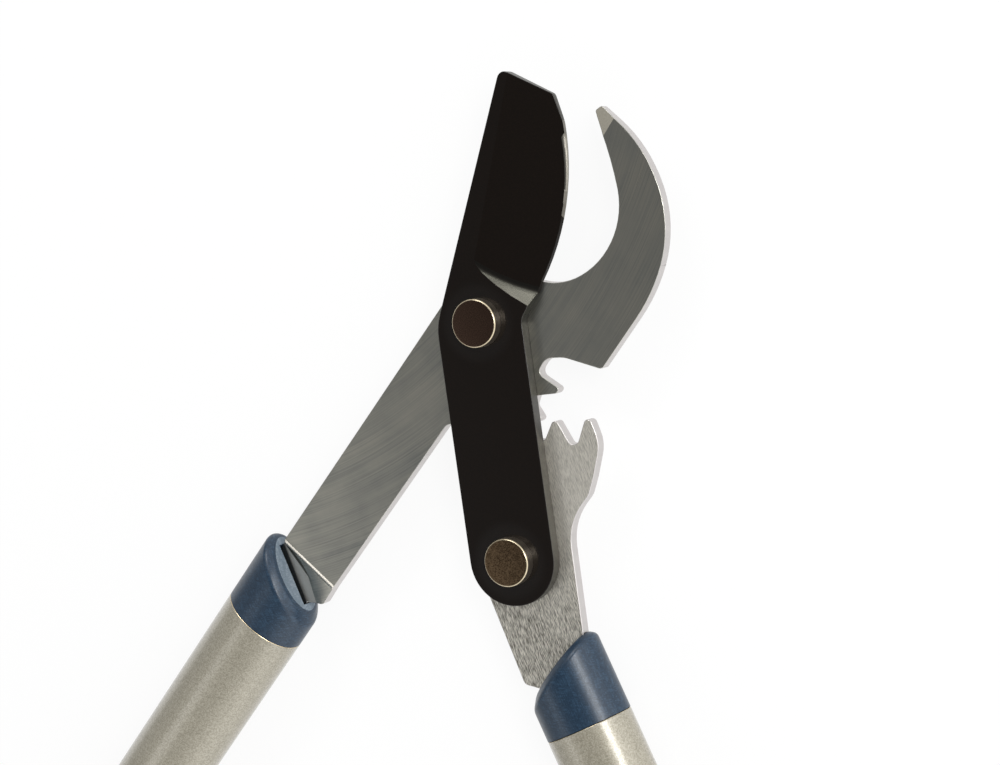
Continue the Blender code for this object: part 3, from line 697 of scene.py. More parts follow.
@dataclass(frozen=True)
class BurnishedCoating(Finish):
    """Thin baked coating, nearly black, that the bolt heads have burnished where they turn."""

    seats: tuple[tuple[float, float], ...] = ()
    seat_radius: float = 13.5
    seat_fading: float = 4.0
    seat_gloss: float = 0.46

    def material(self) -> bpy.types.Material:
        """Make the coating, and its glossier seats around the bolts.

        Returns:
            The material.
        """
        made = super().material()
        tree = made.node_tree
        gloss = tree.nodes["Principled BSDF"].inputs["Specular IOR Level"]
        if gloss.is_linked:
            return made
        place = tree.nodes.new("ShaderNodeTexCoord").outputs["Object"]
        first, second = [
            add_node(
                tree, "ShaderNodeVectorMath", {"operation": "DISTANCE"},
                {0: place, 1: metres(*seat, BLADE_TOP)},
            ) for seat in self.seats
        ]
        nearest = add_node(
            tree, "ShaderNodeMath", {"operation": "MINIMUM"},
            {0: first.outputs["Value"], 1: second.outputs["Value"]},
        )
        level = add_node(
            tree, "ShaderNodeMapRange", SOFT_STEP,
            {
                "Value": nearest.outputs[0],
                "From Min": (self.seat_radius - self.seat_fading) * MM,
                "From Max": self.seat_radius * MM,
                "To Min": self.seat_gloss, "To Max": self.specular,
            },
        )
        tree.links.new(level.outputs[0], gloss)
        return made


@dataclass(frozen=True)
class TurnedFace(Finish):
    """Lathe-turned steel face: fine rings about the axis under a stained film."""

    centre: tuple[float, float] = (0.0, 0.0)
    height: float = 22.9
    stain: float = 0.5
    mottling: float = 1.4

    def pattern(self, tree: Tree, place: Socket) -> Socket:
        """Draw turning rings, coarser than the real 0.1 mm so that they show, and stains.

        Args:
            tree: The material's node tree.
            place: Object coordinates in metres.

        Returns:
            A value from 0 to 1.
        """
        reach = add_node(
            tree, "ShaderNodeVectorMath", {"operation": "DISTANCE"},
            {0: place, 1: metres(*self.centre, self.height)},
        )
        along = add_node(tree, "ShaderNodeCombineXYZ", inputs={"X": reach.outputs["Value"]})
        rings = noise(tree, along.outputs[0], (0.35, 1.0, 1.0), detail=2.0, contrast=1.6)
        stain = noise(tree, place, (self.stain,) * 3, detail=4.0, contrast=self.mottling)
        return layered(tree, rings, (0.75, stain))


@dataclass(frozen=True)
class FlakePaint(Finish):
    """Baked enamel with aluminium flakes: a champagne grey that sparkles under a clear coat."""

    flake: float = 0.3

    def pattern(self, tree: Tree, place: Socket) -> Socket:
        """Draw flakes, coarser than the real 0.05 mm so that they show in a picture.

        Args:
            tree: The material's node tree.
            place: Object coordinates in metres.

        Returns:
            A value from 0 to 1.
        """
        scaled = add_node(
            tree, "ShaderNodeVectorMath", {"operation": "SCALE"},
            {0: place, "Scale": 1 / (self.flake * MM)},
        )
        cells = add_node(
            tree, "ShaderNodeTexVoronoi", inputs={"Vector": scaled.outputs[0], "Scale": 1.0}
        )
        parts = add_node(tree, "ShaderNodeSeparateXYZ", inputs={0: cells.outputs["Color"]})
        mottle = noise(tree, place, (0.8, 0.8, 0.8), detail=3.0, contrast=2.0)
        return layered(tree, parts.outputs["X"], (0.25, mottle))


STEEL_HOOK = ArcGroundSteel(
    "arc_ground_steel", "#7f8280", "#c2bfb3", (0.38, 0.26), 1.0, relief=0.003,
    centre=(-135.0, 101.0),
)
STEEL_GEAR = CoarseGroundSteel(
    "belt_ground_steel", "#59554c", "#fbf7ec", (0.62, 0.42), 1.0, relief=0.03, turn=radians(26.0),
)
STEEL_WALL = ShearedEdge(
    "sheared_steel_edge", "#c9c5c3", "#d6d2d0", (0.42, 0.36), 1.0, relief=0.001,
)
# Filed by hand: paler than the ground face, and duller
STEEL_FACET = Finish("filed_steel_facet", "#b7b2a4", "#d5d0c1", (0.5, 0.38), 1.0, relief=0.004)
# Honed carbon steel: bare and even, and dark because it mirrors the room's dark side
STEEL_EDGE = Finish("honed_cutting_edge", "#6f6c66", "#89857c", (0.4, 0.3), 1.0, relief=0.002)
# The land's dark low colour is painted shade, the slot's shadow below the collar's lip
STEEL_LAND = SlotShadeLand(
    "pressed_steel_land_painted_shade", "#232b31", "#dcdad3", (0.6, 0.44), 1.0, relief=0.001,
)
# Stretched in the press: the grinding lines are gone, and the ridge's colour is raised near white
# as a painted highlight
STEEL_CREASE = Finish("bent_steel_painted_highlight", "#f6efe0", "#fffaf0", (0.32, 0.24), 1.0, relief=0.001)
COATING = BurnishedCoating(
    "baked_dark_coating", "#0c0907", "#150f0b", (0.2, 0.13), relief=0.001, specular=0.28,
    seats=((0.0, 0.0), LINK_CENTRE),
)
# Painted highlight: the coating turns grey on the steep slope where the wheel ran out
PLUNGE = SlopeHighlightCoating(
    "coating_painted_slope_highlight", "#2b2926", "#58574f", (0.3, 0.26), 0.85, relief=0.001,
)
# Coating baked on a blanked wall: thin enough for the steel to show through as grey
COATED_WALL = Finish("thinly_coated_wall", "#4b4a47", "#686661", (0.46, 0.32), 1.0, relief=0.003)
PIN_FACE_JAW = TurnedFace(
    "browned_turned_face", "#4c3b32", "#5e4b40", (0.24, 0.3), 1.0, relief=0.001,
)
PIN_FACE_LINK = TurnedFace(
    "worn_browned_face", "#403224", "#806b53", (0.28, 0.38), 1.0, relief=0.003,
    centre=LINK_CENTRE, stain=0.35, mottling=4.0,
)
# Rim that rubs bare in use: a bright warm line around the brown face
PIN_RIM = Finish("browned_steel_rim", "#b8aa8e", "#dccfb4", (0.2, 0.26), 1.0, relief=0.001)
# Turned side of the head: the film is thin there and lets the steel through
PIN_WALL = Finish("browned_turned_wall", "#a6998a", "#d2c6b4", (0.4, 0.3), 1.0, relief=0.002)
# Bright zinc plating: a soft silver, a little warm
ZINC = Finish("zinc_plated_steel", "#a3a29b", "#c9c8c1", (0.42, 0.28), 1.0, relief=0.006)
# Sintered bronze, soaked in oil: brown with a fine open grain
BRONZE = Finish("sintered_bronze", "#8a6434", "#b98f55", (0.5, 0.32), 1.0, relief=0.02)
# Nylon 6, moulded without a dye: a milky white with a satin skin
NYLON = Finish("white_nylon", "#cfcbbd", "#e2dfd3", (0.5, 0.38))
COLLAR = ScuffedNylon("moulded_blue_nylon", "#0f2132", "#30475c", (0.35, 0.27), relief=0.005)
# The same nylon at the collar's cut mouth: duller, and painted paler as a painted highlight where
# the end face catches the light
COLLAR_LIP = ScuffedNylon("blue_nylon_lip_painted_highlight", "#5c6b78", "#8995a0", (0.5, 0.4), relief=0.004)
PAINT = FlakePaint(
    "flake_enamel", "#837e6e", "#b4ae9e", (0.42, 0.32), 0.3, relief=0.002, coat=1.0,
    coat_roughness=0.2,
)
# Aluminium as the saw leaves it: bright, and warm beside the enamel
CUT_END = Finish("sawn_aluminium_end", "#d8b984", "#f7ecd2", (0.3, 0.2), 1.0, relief=0.004)
# The collars' nylon with a coarser skin from an eroded mould
GRIP = Finish("moulded_grip_nylon", "#22303c", "#2f4150", (0.5, 0.4), relief=0.02)
# Thermoplastic rubber over the grip: matt and nearly black
RUBBER = Finish("soft_grip_rubber", "#1b1c1e", "#2a2b2d", (0.85, 0.68), relief=0.05)


def dress(piece: Piece, *finishes: Finish) -> None:
    """Give a piece its finishes.

    Args:
        piece: The mesh object.
        finishes: The finishes that the piece shows, first the one that every face gets.
    """
    piece.data.materials.clear()
    for finish in finishes:
        piece.data.materials.append(finish.material())
    piece.data.polygons.foreach_set("material_index", [0] * len(piece.data.polygons))


def paint_faces(piece: Piece, finish: Finish, test: Callable[[Vector, Vector], bool]) -> None:
    """Give some faces another one of the piece's finishes.

    Args:
        piece: The mesh object.
        finish: The finish, one of those that the piece was dressed with.
        test: Says for a face's middle in millimetres and its normal whether it is wanted.
    """
    number = piece.data.materials.find(finish.name)
    for face in piece.data.polygons:
        if test(face.center / MM, face.normal):
            face.material_index = number


def finished(piece: Piece, body: Body, slot: str, *nodes: str) -> None:
    """Hand a finished piece to its body, and hide the solids it stands for.

    Args:
        piece: The finished piece.
        body: The body that carries it.
        slot: The record's material slot; not used.
        nodes: The CAD nodes that it stands for.
    """
    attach(piece, body.value)
    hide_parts(*nodes)
    log.info("%s: %d faces on %s", piece.name, len(piece.data.polygons), body.value)


# Sub-assemblies


@dataclass
class Plates:
    """The blade and the two geared levers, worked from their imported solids.

    A face counts as a plate's wall when its normal's upright part is under the
    plate's wall slope.
    """

    rim_rounding: float = 0.22
    hook_wall_slope: float = 0.5
    gear_wall_slope: float = 0.95
    blade_wall_slope: float = 0.8
    crease_distance: float = 26.7
    crease_width: float = 0.72
    crease_height: float = 0.42
    crease_tolerance: float = 0.25
    crease_shading: float = 1.9
    facet_start: float = 58.0
    facet_slope: tuple[float, float] = (0.97, 0.995)
    blade_bottom: float = 16.03
    cutting_arc: tuple[float, float] = (6.6, 56.5)
    blade_front: float = 20.0
    bare_edge_from: float = 35.0
    wheel_centre: tuple[float, float] = (42.0, 69.5)
    wheel_radius: float = 64.5
    plunge: tuple[float, float] = (3.0, 20.0)
    plunge_bottom: float = 16.9

    def build(self) -> None:
        """Make and dress the three plates."""
        self.add_hook_lever()
        self.add_gear_lever()
        self.add_blade()

    def add_hook_lever(self) -> None:
        """Hook, gear sector and stepped tang in one ground plate."""
        lever = copied_node("hook_lever", "hook_lever_plate")
        self.raise_crease(lever)
        round_edges(lever, self.rim_rounding, 2, 60.0)
        smooth(lever, 50.0, lambda edge: leaves_plate_face(edge) or self.borders_crease(edge))
        dress(lever, STEEL_HOOK, STEEL_WALL, STEEL_FACET, STEEL_CREASE, STEEL_LAND)
        paint_faces(lever, STEEL_WALL, lambda middle, normal: abs(normal.z) < self.hook_wall_slope)
        paint_faces(lever, STEEL_FACET, self.is_filed)
        # The ridge's slopes get the near-white steel, a painted highlight
        paint_faces(lever, STEEL_CREASE, self.is_bent)
        paint_faces(lever, STEEL_LAND, self.is_land)
        finished(lever, Body.HOOK_SIDE, "ground_steel", "hook_lever")

    def raise_crease(self, lever: Piece) -> None:
        """Break the bend's edge and raise its middle into the low ridge that the press left.

        Args:
            lever: The hook lever, still as it was copied.
        """
        round_edges(
            lever, self.crease_width, 2, 4.0,
            where=lambda middle: self.on_crease(middle) and middle.z > LEVER_TOP - 0.1,
        )
        with editing(lever, Pick.CORNERS):
            mesh = bmesh.from_edit_mesh(lever.data)
            for vertex in mesh.verts:
                place = vertex.co / MM
                vertex.select_set(self.on_crease(place) and place.z > LEVER_TOP - 0.5)
            bpy.ops.transform.translate(value=(0, 0, self.crease_height * MM))

    def on_crease(self, place: Vector) -> bool:
        """Say whether a place lies on the middle line of the bend."""
        return abs(self.past_crease(place)) < self.crease_tolerance

    def borders_crease(self, edge: Edge) -> bool:
        """Say whether an edge belongs to the ridge along the bend."""
        middle = middle_of(edge)
        return abs(self.past_crease(middle)) < self.crease_shading and middle.z > LEVER_TOP - 1.0

    def past_crease(self, place: Vector) -> float:
        """Measure how far a place lies beyond the left tang's crease, seen from the collar.

        Args:
            place: The place in the object's frame, in millimetres.

        Returns:
            The distance in millimetres, negative between the crease and the collar.
        """
        from_seam = place - Vector((*LEFT_SEAM, 0.0))
        turn_back = Matrix.Rotation(radians(HANDLE_TURN), 3, "Z")
        return (turn_back @ from_seam).y - self.crease_distance

    def is_filed(self, middle: Vector, normal: Vector) -> bool:
        """Say whether a face belongs to the facet that is filed at the hook's tip."""
        return middle.y > self.facet_start and self.facet_slope[0] < normal.z < self.facet_slope[1]

    def is_bent(self, middle: Vector, normal: Vector) -> bool:
        """Say whether a face is one of the two slopes of the ridge along the bend."""
        return abs(self.past_crease(middle)) < self.crease_width and 0.5 < normal.z < 0.9999

    def is_land(self, middle: Vector, normal: Vector) -> bool:
        """Say whether a face is the pressed land between the bend and the collar."""
        return (
            self.past_crease(middle) < 0 and normal.z > 0.999 and middle.z < LEVER_TOP - 1.0
        )

    def add_gear_lever(self) -> None:
        """Gear sector and right tang in one belt-ground plate."""
        lever = copied_node("gear_lever", "gear_lever_plate")
        round_edges(lever, self.rim_rounding, 2, 60.0)
        smooth(lever, 50.0, leaves_plate_face)
        dress(lever, STEEL_GEAR, STEEL_WALL)
        paint_faces(lever, STEEL_WALL, lambda middle, normal: abs(normal.z) < self.gear_wall_slope)
        finished(lever, Body.GEAR_SIDE, "ground_steel", "gear_lever")

    def add_blade(self) -> None:
        """Blade and link in one coated plate, with its bare cutting edge."""
        blade = copied_node("cutting_blade", "blade_plate")
        with editing(blade, Pick.CORNERS):
            mesh = bmesh.from_edit_mesh(blade.data)
            bottom = min(vertex.co.z for vertex in mesh.verts)
            for vertex in mesh.verts:
                vertex.select_set(vertex.co.z < bottom + 0.01 * MM)
            bpy.ops.transform.translate(value=(0, 0, self.blade_bottom * MM - bottom))
        round_edges(
            blade, self.rim_rounding, 2, 50.0,
            where=lambda middle: not self.near_cutting_arc(middle),
        )
        smooth(blade, 50.0, leaves_plate_face)
        dress(blade, COATING, STEEL_EDGE, COATED_WALL, PLUNGE)
        paint_faces(
            blade, COATED_WALL, lambda middle, normal: abs(normal.z) < self.blade_wall_slope
        )
        # The run-out slope gets the coating with the painted highlight
        paint_faces(blade, PLUNGE, lambda middle, normal: self.in_plunge(middle))
        paint_faces(blade, COATING, self.is_honed)
        paint_faces(
            blade, STEEL_EDGE,
            lambda middle, normal: self.is_honed(middle, normal) and middle.y > self.bare_edge_from,
        )
        finished(blade, Body.BLADE_LINK, "blade_coating", "cutting_blade")

    def in_link_frame(self, place: Vector) -> Vector:
        """Turn a place in the object's frame into the frame of the blade link."""
        return Matrix.Rotation(-LINK_TURN, 3, "Z") @ place

    def near_cutting_arc(self, middle: Vector) -> bool:
        """Say whether a place lies on the front of the blade, where the sharp edge stays."""
        place = self.in_link_frame(middle)
        return self.cutting_arc[0] < place.y < self.cutting_arc[1] and place.x > self.blade_front

    def is_honed(self, middle: Vector, normal: Vector) -> bool:
        """Say whether a face belongs to the honed bevel along the cutting arc."""
        return self.near_cutting_arc(middle) and -0.5 < normal.z < 0.95

    def in_plunge(self, middle: Vector) -> bool:
        """Say whether a place lies where the grinding wheel's rim ran out of the blade.

        Args:
            middle: The place in the object's frame, in millimetres.

        Returns:
            True on the slope outside the wheel, between the hollow and the blade's face.
        """
        place = self.in_link_frame(middle)
        reach = hypot(place.x - self.wheel_centre[0], place.y - self.wheel_centre[1])
        return (
            reach > self.wheel_radius and self.plunge[0] < place.y < self.plunge[1]
            and self.plunge_bottom < place.z < BLADE_TOP - 0.01
        )


@dataclass
class Pivot:
    """A shoulder bolt with its lock nut and washers, and the lever's bush.

    A span is the height of a ring's lower face and of its upper one. The crown's
    break is the share of the radius where the crown bends, and of its fall there.
    """

    name: str
    lever: str
    lever_body: Body
    centre: tuple[float, float]
    face: Finish
    head_radius: float = 7.5
    head_bottom: float = 20.15
    head_top: float = 24.0
    head_offset: tuple[float, float] = (0.57, 0.2)
    head_overlap: float = 0.5
    crown: float = 0.12
    crown_break: tuple[float, float] = (0.6, 0.4)
    rim_width: float = 0.6
    shoulder_radius: float = 5.0
    shoulder_bottom: float = 12.0
    thread_radius: float = 4.0
    thread_pitch: float = 1.25
    thread_depth: float = 0.55
    thread_flanks: tuple[float, float] = (0.2, 0.35)
    point_chamfer: float = 0.8
    centre_drill: tuple[float, float] = (1.0, 0.6)
    nut_span: tuple[float, float] = (1.8, 9.8)
    nut_flat_radius: float = 6.5
    nut_chamfer: tuple[float, float] = (0.9, 0.55)
    nut_rounding: float = 0.18
    nylon_seat: tuple[float, float] = (1.4, 2.3)
    nylon_size: tuple[float, float] = (1.1, 2.0)
    washer_radius: float = 8.5
    washer_span: tuple[float, float] = (10.1, 11.7)
    bush_wall: float = 1.7
    bush_span: tuple[float, float] = (12.0, 14.8)
    friction_radius: float = 11.3
    friction_span: tuple[float, float] = (15.1, 16.0)

    def build(self) -> None:
        """Make and dress the pieces of the pivot."""
        self.add_bolt()
        self.add_nut()
        self.add_rings()

    def place(self) -> Matrix:
        """Return the placement at the pivot's axis."""
        return Matrix.Translation(metres(*self.centre, 0.0))

    def add_bolt(self) -> None:
        """Plain round head, ground shoulder and threaded end."""
        seat = self.head_bottom + self.head_overlap
        crest, root = self.thread_radius, self.thread_radius - self.thread_depth
        profile = [(0.0, seat), (self.shoulder_radius, seat)]
        profile += [(self.shoulder_radius, self.shoulder_bottom), (crest, self.shoulder_bottom)]
        height = self.shoulder_bottom - self.thread_pitch
        above, below = self.thread_flanks
        while height > self.thread_pitch:
            profile += [(crest, height + above), (root, height - below)]
            height -= self.thread_pitch
        drill_radius, drill_depth = self.centre_drill
        profile += [(crest - self.point_chamfer, 0.0), (drill_radius, 0.0), (0.0, drill_depth)]
        bolt = spun(self.name + "_shoulder_bolt", profile)
        carve(bolt, self.turned_head(), Join.FUSE)
        smooth(bolt, 30.0)
        dress(bolt, PIN_RIM, self.face, PIN_WALL)
        face_from = self.head_top - self.crown - 0.1
        paint_faces(bolt, PIN_WALL, lambda middle, normal: abs(normal.z) < 0.1)
        paint_faces(
            bolt, self.face, lambda middle, normal: normal.z > 0.98 and middle.z > face_from
        )
        settle(bolt, self.place())
        finished(bolt, Body.BLADE_LINK, "browned_steel", self.name + "_pivot_bolt")

    def turned_head(self) -> Piece:
        """Turn the bolt's head, with a hair-fine crown and a bright broken rim.

        Returns:
            The head, a little off the shoulder's axis as the photograph shows it.
        """
        radius, top, bottom = self.head_radius, self.head_top, self.head_bottom
        out, down = self.crown_break
        rim = top - self.crown
        head = spun("head", [
            (0.0, top), (radius * out, top - self.crown * down), (radius, rim),
            (radius, bottom), (0.0, bottom),
        ])
        round_edges(
            head, self.rim_width, 5, 50.0, where=lambda middle: middle.z > rim - 0.05
        )
        settle(head, Matrix.Translation(metres(*self.head_offset, 0.0)))
        return head

    def add_nut(self) -> None:
        """Hexagon lock nut with turned chamfers and a seat for its nylon ring."""
        bottom, top = self.nut_span
        corner = self.nut_flat_radius / cos(pi / 6)
        bpy.ops.object.select_all(action="DESELECT")
        bpy.ops.mesh.primitive_cylinder_add(
            vertices=6, radius=corner * MM, depth=(top - bottom) * MM,
            location=(0, 0, (top + bottom) / 2 * MM), rotation=(0, 0, pi / 6),
        )
        nut = bpy.context.active_object
        nut.name = self.name + "_lock_nut"
        bpy.ops.object.transform_apply(location=True, rotation=True, scale=True)
        inward, upward = self.nut_chamfer
        face, wall = corner - inward, corner + 0.05
        carve(nut, spun("barrel", [
            (0, top), (face, top), (wall, top - upward), (wall, bottom + upward), (face, bottom),
            (0, bottom),
        ]), Join.KEEP_COMMON)
        bore = self.thread_radius + CLEARANCE
        seat, seat_top = bore + self.nylon_seat[0], bottom + self.nylon_seat[1]
        above = self.shoulder_bottom
        carve(nut, spun("bore", [(0, above), (bore, above), (bore, 0), (0, 0)]))
        carve(nut, spun("seat", [(0, seat_top), (seat, seat_top), (seat, 0), (0, 0)]))
        round_edges(nut, self.nut_rounding, 2, 25.0)
        smooth(nut, 30.0)
        dress(nut, ZINC)
        settle(nut, self.place())
        finished(nut, Body.BLADE_LINK, "zinc_plating", self.name + "_pivot_nut")

    def add_ring(
        self, name: str, outer: float, inner: float, span: tuple[float, float], finish: Finish,
        body: Body, slot: str, node: str,
    ) -> None:
        """Turn a flat ring with broken edges.

        Args:
            name: Name of the piece.
            outer: Outer radius in millimetres.
            inner: Inner radius in millimetres.
            span: Heights of the lower and the upper face.
            finish: What the ring is made of.
            body: The body that carries it.
            slot: The record's material slot.
            node: The CAD node that it stands for.
        """
        bottom, top = span
        ring = spun(
            name, [(outer, top), (outer, bottom), (inner, bottom), (inner, top), (outer, top)]
        )
        round_edges(ring, min(0.25, (top - bottom) / 4), 3, 50.0)
        smooth(ring)
        dress(ring, finish)
        settle(ring, self.place())
        finished(ring, body, slot, node)

    def add_rings(self) -> None:
        """Back washer, nylon lock ring, bush and friction washer."""
        bore = self.shoulder_radius + CLEARANCE
        thread = self.thread_radius + CLEARANCE
        nylon_wall, nylon_height = self.nylon_size
        nut_bottom = self.nut_span[0]
        self.add_ring(
            self.name + "_washer", self.washer_radius, thread, self.washer_span, ZINC,
            Body.BLADE_LINK, "zinc_plating", self.name + "_back_washer",
        )
        self.add_ring(
            self.name + "_nylon_ring", thread + nylon_wall, thread,
            (nut_bottom, nut_bottom + nylon_height), NYLON,
            Body.BLADE_LINK, "nylon", self.name + "_lock_ring",
        )
        self.add_ring(
            self.name + "_bush", bore + self.bush_wall, bore, self.bush_span, BRONZE,
            self.lever_body, "bush_bronze", self.lever + "_bush",
        )
        self.add_ring(
            self.name + "_friction_disc", self.friction_radius, bore, self.friction_span, NYLON,
            self.lever_body, "nylon", self.name + "_friction_washer",
        )


@dataclass
class HandleArm:
    """Collar, oval tube, rivets, grip and end cap of one handle.

    The handle's own frame has its origin on the seam between collar and tube,
    at the axis, with +Y toward the head. Places along the handle count from the
    seam, heights of the rivet's dome from the tube's crown, and the end cap's
    edge from the grip's outside and the cap's end.
    """

    side: str
    body: Body
    seam: tuple[float, float]
    turn: float
    outward: int
    steps: int = 128
    tube_radius: float = 14.5
    tube_bore: float = 12.7
    tube_length: float = 523.0
    tube_start: float = 0.08
    tube_rounding: float = 0.45
    collar_middle: float = 19.7
    collar_slant: float = 27.5
    collar_chamfer: float = 2.5
    collar_softening: float = 0.9
    insert_length: float = 112.0
    slot_half: float = 9.3
    slot_top: float = 2.3
    slot_bottom: float = -3.8
    mouth_outer: float = 9.3
    mouth_depth: float = 14.4
    rivets: tuple[tuple[str, float], ...] = (("front", 72.0), ("rear", 96.0))
    rivet_dome: tuple[tuple[float, float], ...] = (
        (0.0, 1.65), (1.2, 1.58), (2.4, 1.3), (3.5, 0.75), (4.2, 0.15), (4.5, -0.5), (2.5, -0.7),
    )
    grip_start: float = 352.0
    grip_mouth: float = 16.0
    grip_radius: float = AXIS_HEIGHT / SECTION_FLATNESS
    grip_waist: float = 0.75
    grip_rounding: float = 1.2
    grip_lip: float = 0.6
    grooves: tuple[float, ...] = (8.0, 12.0, 16.0)
    groove_depth: float = 0.45
    groove_flanks: tuple[float, float] = (0.7, 0.3)
    sleeve: tuple[float, float] = (380.0, 496.0)
    sleeve_wall: float = 1.5
    sleeve_seat: float = 1.8
    sleeve_sink: float = 0.05
    sleeve_lip: tuple[float, float] = (0.6, 0.4)
    rib_margin: float = 5.0
    rib_pitch: float = 4.0
    rib_depth: float = 0.55
    rib_shape: tuple[tuple[float, float], ...] = ((0.0, 1.0), (0.2, 0.35), (0.5, 0.0), (0.8, 0.35))
    plug_length: float = 24.0
    cap_thickness: float = 6.0
    cap_edge: tuple[tuple[float, float], ...] = ((1.2, 3.0), (2.1, 0.9), (4.2, 0.0))
    cap_ring: tuple[tuple[float, float], ...] = ((9.0, 0.0), (8.5, 0.5), (7.5, 0.5), (7.0, 0.0))

    def build(self) -> None:
        """Make and dress the pieces of the handle."""
        self.add_collar()
        self.add_tube()
        self.add_rivets()
        self.add_grip()
        self.add_sleeve()
        self.add_end_cap()

    def place(self) -> Matrix:
        """Return the placement of the handle's own frame."""
        origin = Vector((*self.seam, AXIS_HEIGHT)) * MM
        return Matrix.Translation(origin) @ Matrix.Rotation(radians(self.turn), 4, "Z")

    def lay_down(self, piece: Piece) -> None:
        """Turn a spun piece from Z to the handle's Y axis and flatten it to the oval."""
        flatten = Matrix.Diagonal((1, 1, SECTION_FLATNESS, 1))
        settle(piece, flatten @ Matrix.Rotation(radians(-90), 4, "X"))

    def hand_over(self, piece: Piece, slot: str, *nodes: str) -> None:
        """Place a piece that is finished in the handle's own frame."""
        settle(piece, self.place())
        finished(piece, self.body, slot, *nodes)

    def add_collar(self) -> None:
        """Moulded collar with its slanted rounded end, its slot and its insert."""
        insert = self.tube_bore - CLEARANCE
        far = 2 * self.collar_middle
        collar = spun(self.side + "_handle_collar", [
            (0, far), (self.tube_radius, far), (self.tube_radius, 0), (insert, 0),
            (insert, -self.insert_length), (0, -self.insert_length),
        ], self.steps)
        self.lay_down(collar)
        self.cut_slanted_end(collar)
        carve(collar, block(
            "slot", (-self.slot_half, -self.insert_length - 2, self.slot_bottom),
            (self.slot_half, far, self.slot_top),
        ))
        if self.mouth_outer > self.slot_half:
            low, high = sorted((0.0, self.outward * self.mouth_outer))
            carve(collar, block(
                "mouth", (low, self.mouth_depth, self.slot_bottom), (high, far, self.slot_top),
            ))
        lip = self.end_normal()
        smooth(
            collar, 30.0,
            lambda edge: any(face.normal.dot(lip) > 0.999 for face in edge.link_faces),
        )
        dress(collar, COLLAR, COLLAR_LIP)
        # The slanted end face gets the paler nylon, a painted highlight
        paint_faces(collar, COLLAR_LIP, lambda middle, normal: normal.dot(lip) > 0.999)
        self.hand_over(collar, "collar_plastic", self.side + "_collar")

    def end_normal(self) -> Vector:
        """Return the direction that the collar's slanted end faces, in the handle's frame."""
        return Vector((-self.outward * tan(radians(self.collar_slant)), 1, 0)).normalized()

    def cut_slanted_end(self, collar: Piece) -> None:
        """Cut the collar's slanted end, chamfer it all around and soften the chamfer.

        Args:
            collar: The collar in the handle's own frame.
        """
        with editing(collar, Pick.EDGES):
            bpy.ops.mesh.select_all(action="SELECT")
            bpy.ops.mesh.bisect(
                plane_co=(0, self.collar_middle * MM, 0), plane_no=self.end_normal(),
                use_fill=True, clear_outer=True, threshold=0.001 * MM,
            )
        for width, segments, sharper_than in (
            (self.collar_chamfer, 1, 25.0), (self.collar_softening, 3, 20.0),
        ):
            round_edges(
                collar, width, segments, sharper_than, where=lambda middle: middle.y > 2.0
            )

    def add_tube(self) -> None:
        """Painted oval tube with bare sawn ends."""
        near, far = -self.tube_start, -self.tube_length
        tube = spun(self.side + "_handle_tube", [
            (self.tube_radius, near), (self.tube_radius, far), (self.tube_bore, far),
            (self.tube_bore, near), (self.tube_radius, near),
        ], self.steps)
        self.lay_down(tube)
        round_edges(tube, self.tube_rounding, 3, 50.0)
        smooth(tube)
        dress(tube, PAINT, CUT_END)
        paint_faces(tube, CUT_END, lambda middle, normal: abs(normal.y) > 0.3)
        self.hand_over(tube, "tube_paint", self.side + "_tube")

    def add_rivets(self) -> None:
        """Domed rivets whose heads are pressed into the tube's crown."""
        top = self.tube_radius * SECTION_FLATNESS
        dome = [(radius, top + height) for radius, height in self.rivet_dome]
        profile = dome + [(radius, -height) for radius, height in reversed(dome)]
        first = spun(self.side + "_rivet", profile, 48)
        smooth(first, 50.0)
        dress(first, ZINC)
        for place, distance in self.rivets:
            rivet = repeated(first, f"{self.side}_dome_rivet_{place}")
            settle(rivet, Matrix.Translation((0, -distance * MM, 0)))
            self.hand_over(rivet, "zinc_plating", f"{self.side}_rivet_{place}")
        bpy.data.objects.remove(first)

    def radius_at(self, distance: float) -> float:
        """Find the outer radius of the grip, which swells from its mouth to its end.

        Args:
            distance: Distance from the seam in millimetres.

        Returns:
            The radius in millimetres.
        """
        share = (distance - self.grip_start) / (self.tube_length - self.grip_start)
        growth = (self.grip_radius - self.grip_mouth) * sqrt(max(0.0, share))
        return self.grip_mouth + growth - self.grip_waist * sin(pi * share) ** 2 * share

    def add_grip(self) -> None:
        """Hard grip body with turned grooves at its mouth and a seat for the soft sleeve."""
        bore = self.tube_radius + CLEARANCE
        start, end = self.grip_start, self.tube_length
        lip = start + self.grip_rounding
        body = [(bore, -start), (self.grip_mouth - self.grip_lip, -start)]
        body.append((self.radius_at(lip), -lip))
        wide, narrow = self.groove_flanks
        for at in [start + groove for groove in self.grooves]:
            outer = self.radius_at(at)
            inner = outer - self.groove_depth
            body += [(outer, -at + wide), (inner, -at + narrow)]
            body += [(inner, -at - narrow), (outer, -at - wide)]
        front, back = self.sleeve
        body.append((self.radius_at(front), -front))
        body += [(self.radius_at(at) - self.sleeve_seat, -at) for at in self.sleeve]
        tail = (back, (back + end) / 2, end - self.grip_rounding)
        body += [(self.radius_at(at), -at) for at in tail]
        body += [(self.grip_radius - self.grip_rounding, -end), (bore, -end), (bore, -start)]
        grip = spun(self.side + "_grip_body", body, self.steps)
        self.lay_down(grip)
        smooth(grip, 40.0)
        dress(grip, GRIP)
        self.hand_over(grip, "grip_plastic", self.side + "_grip")

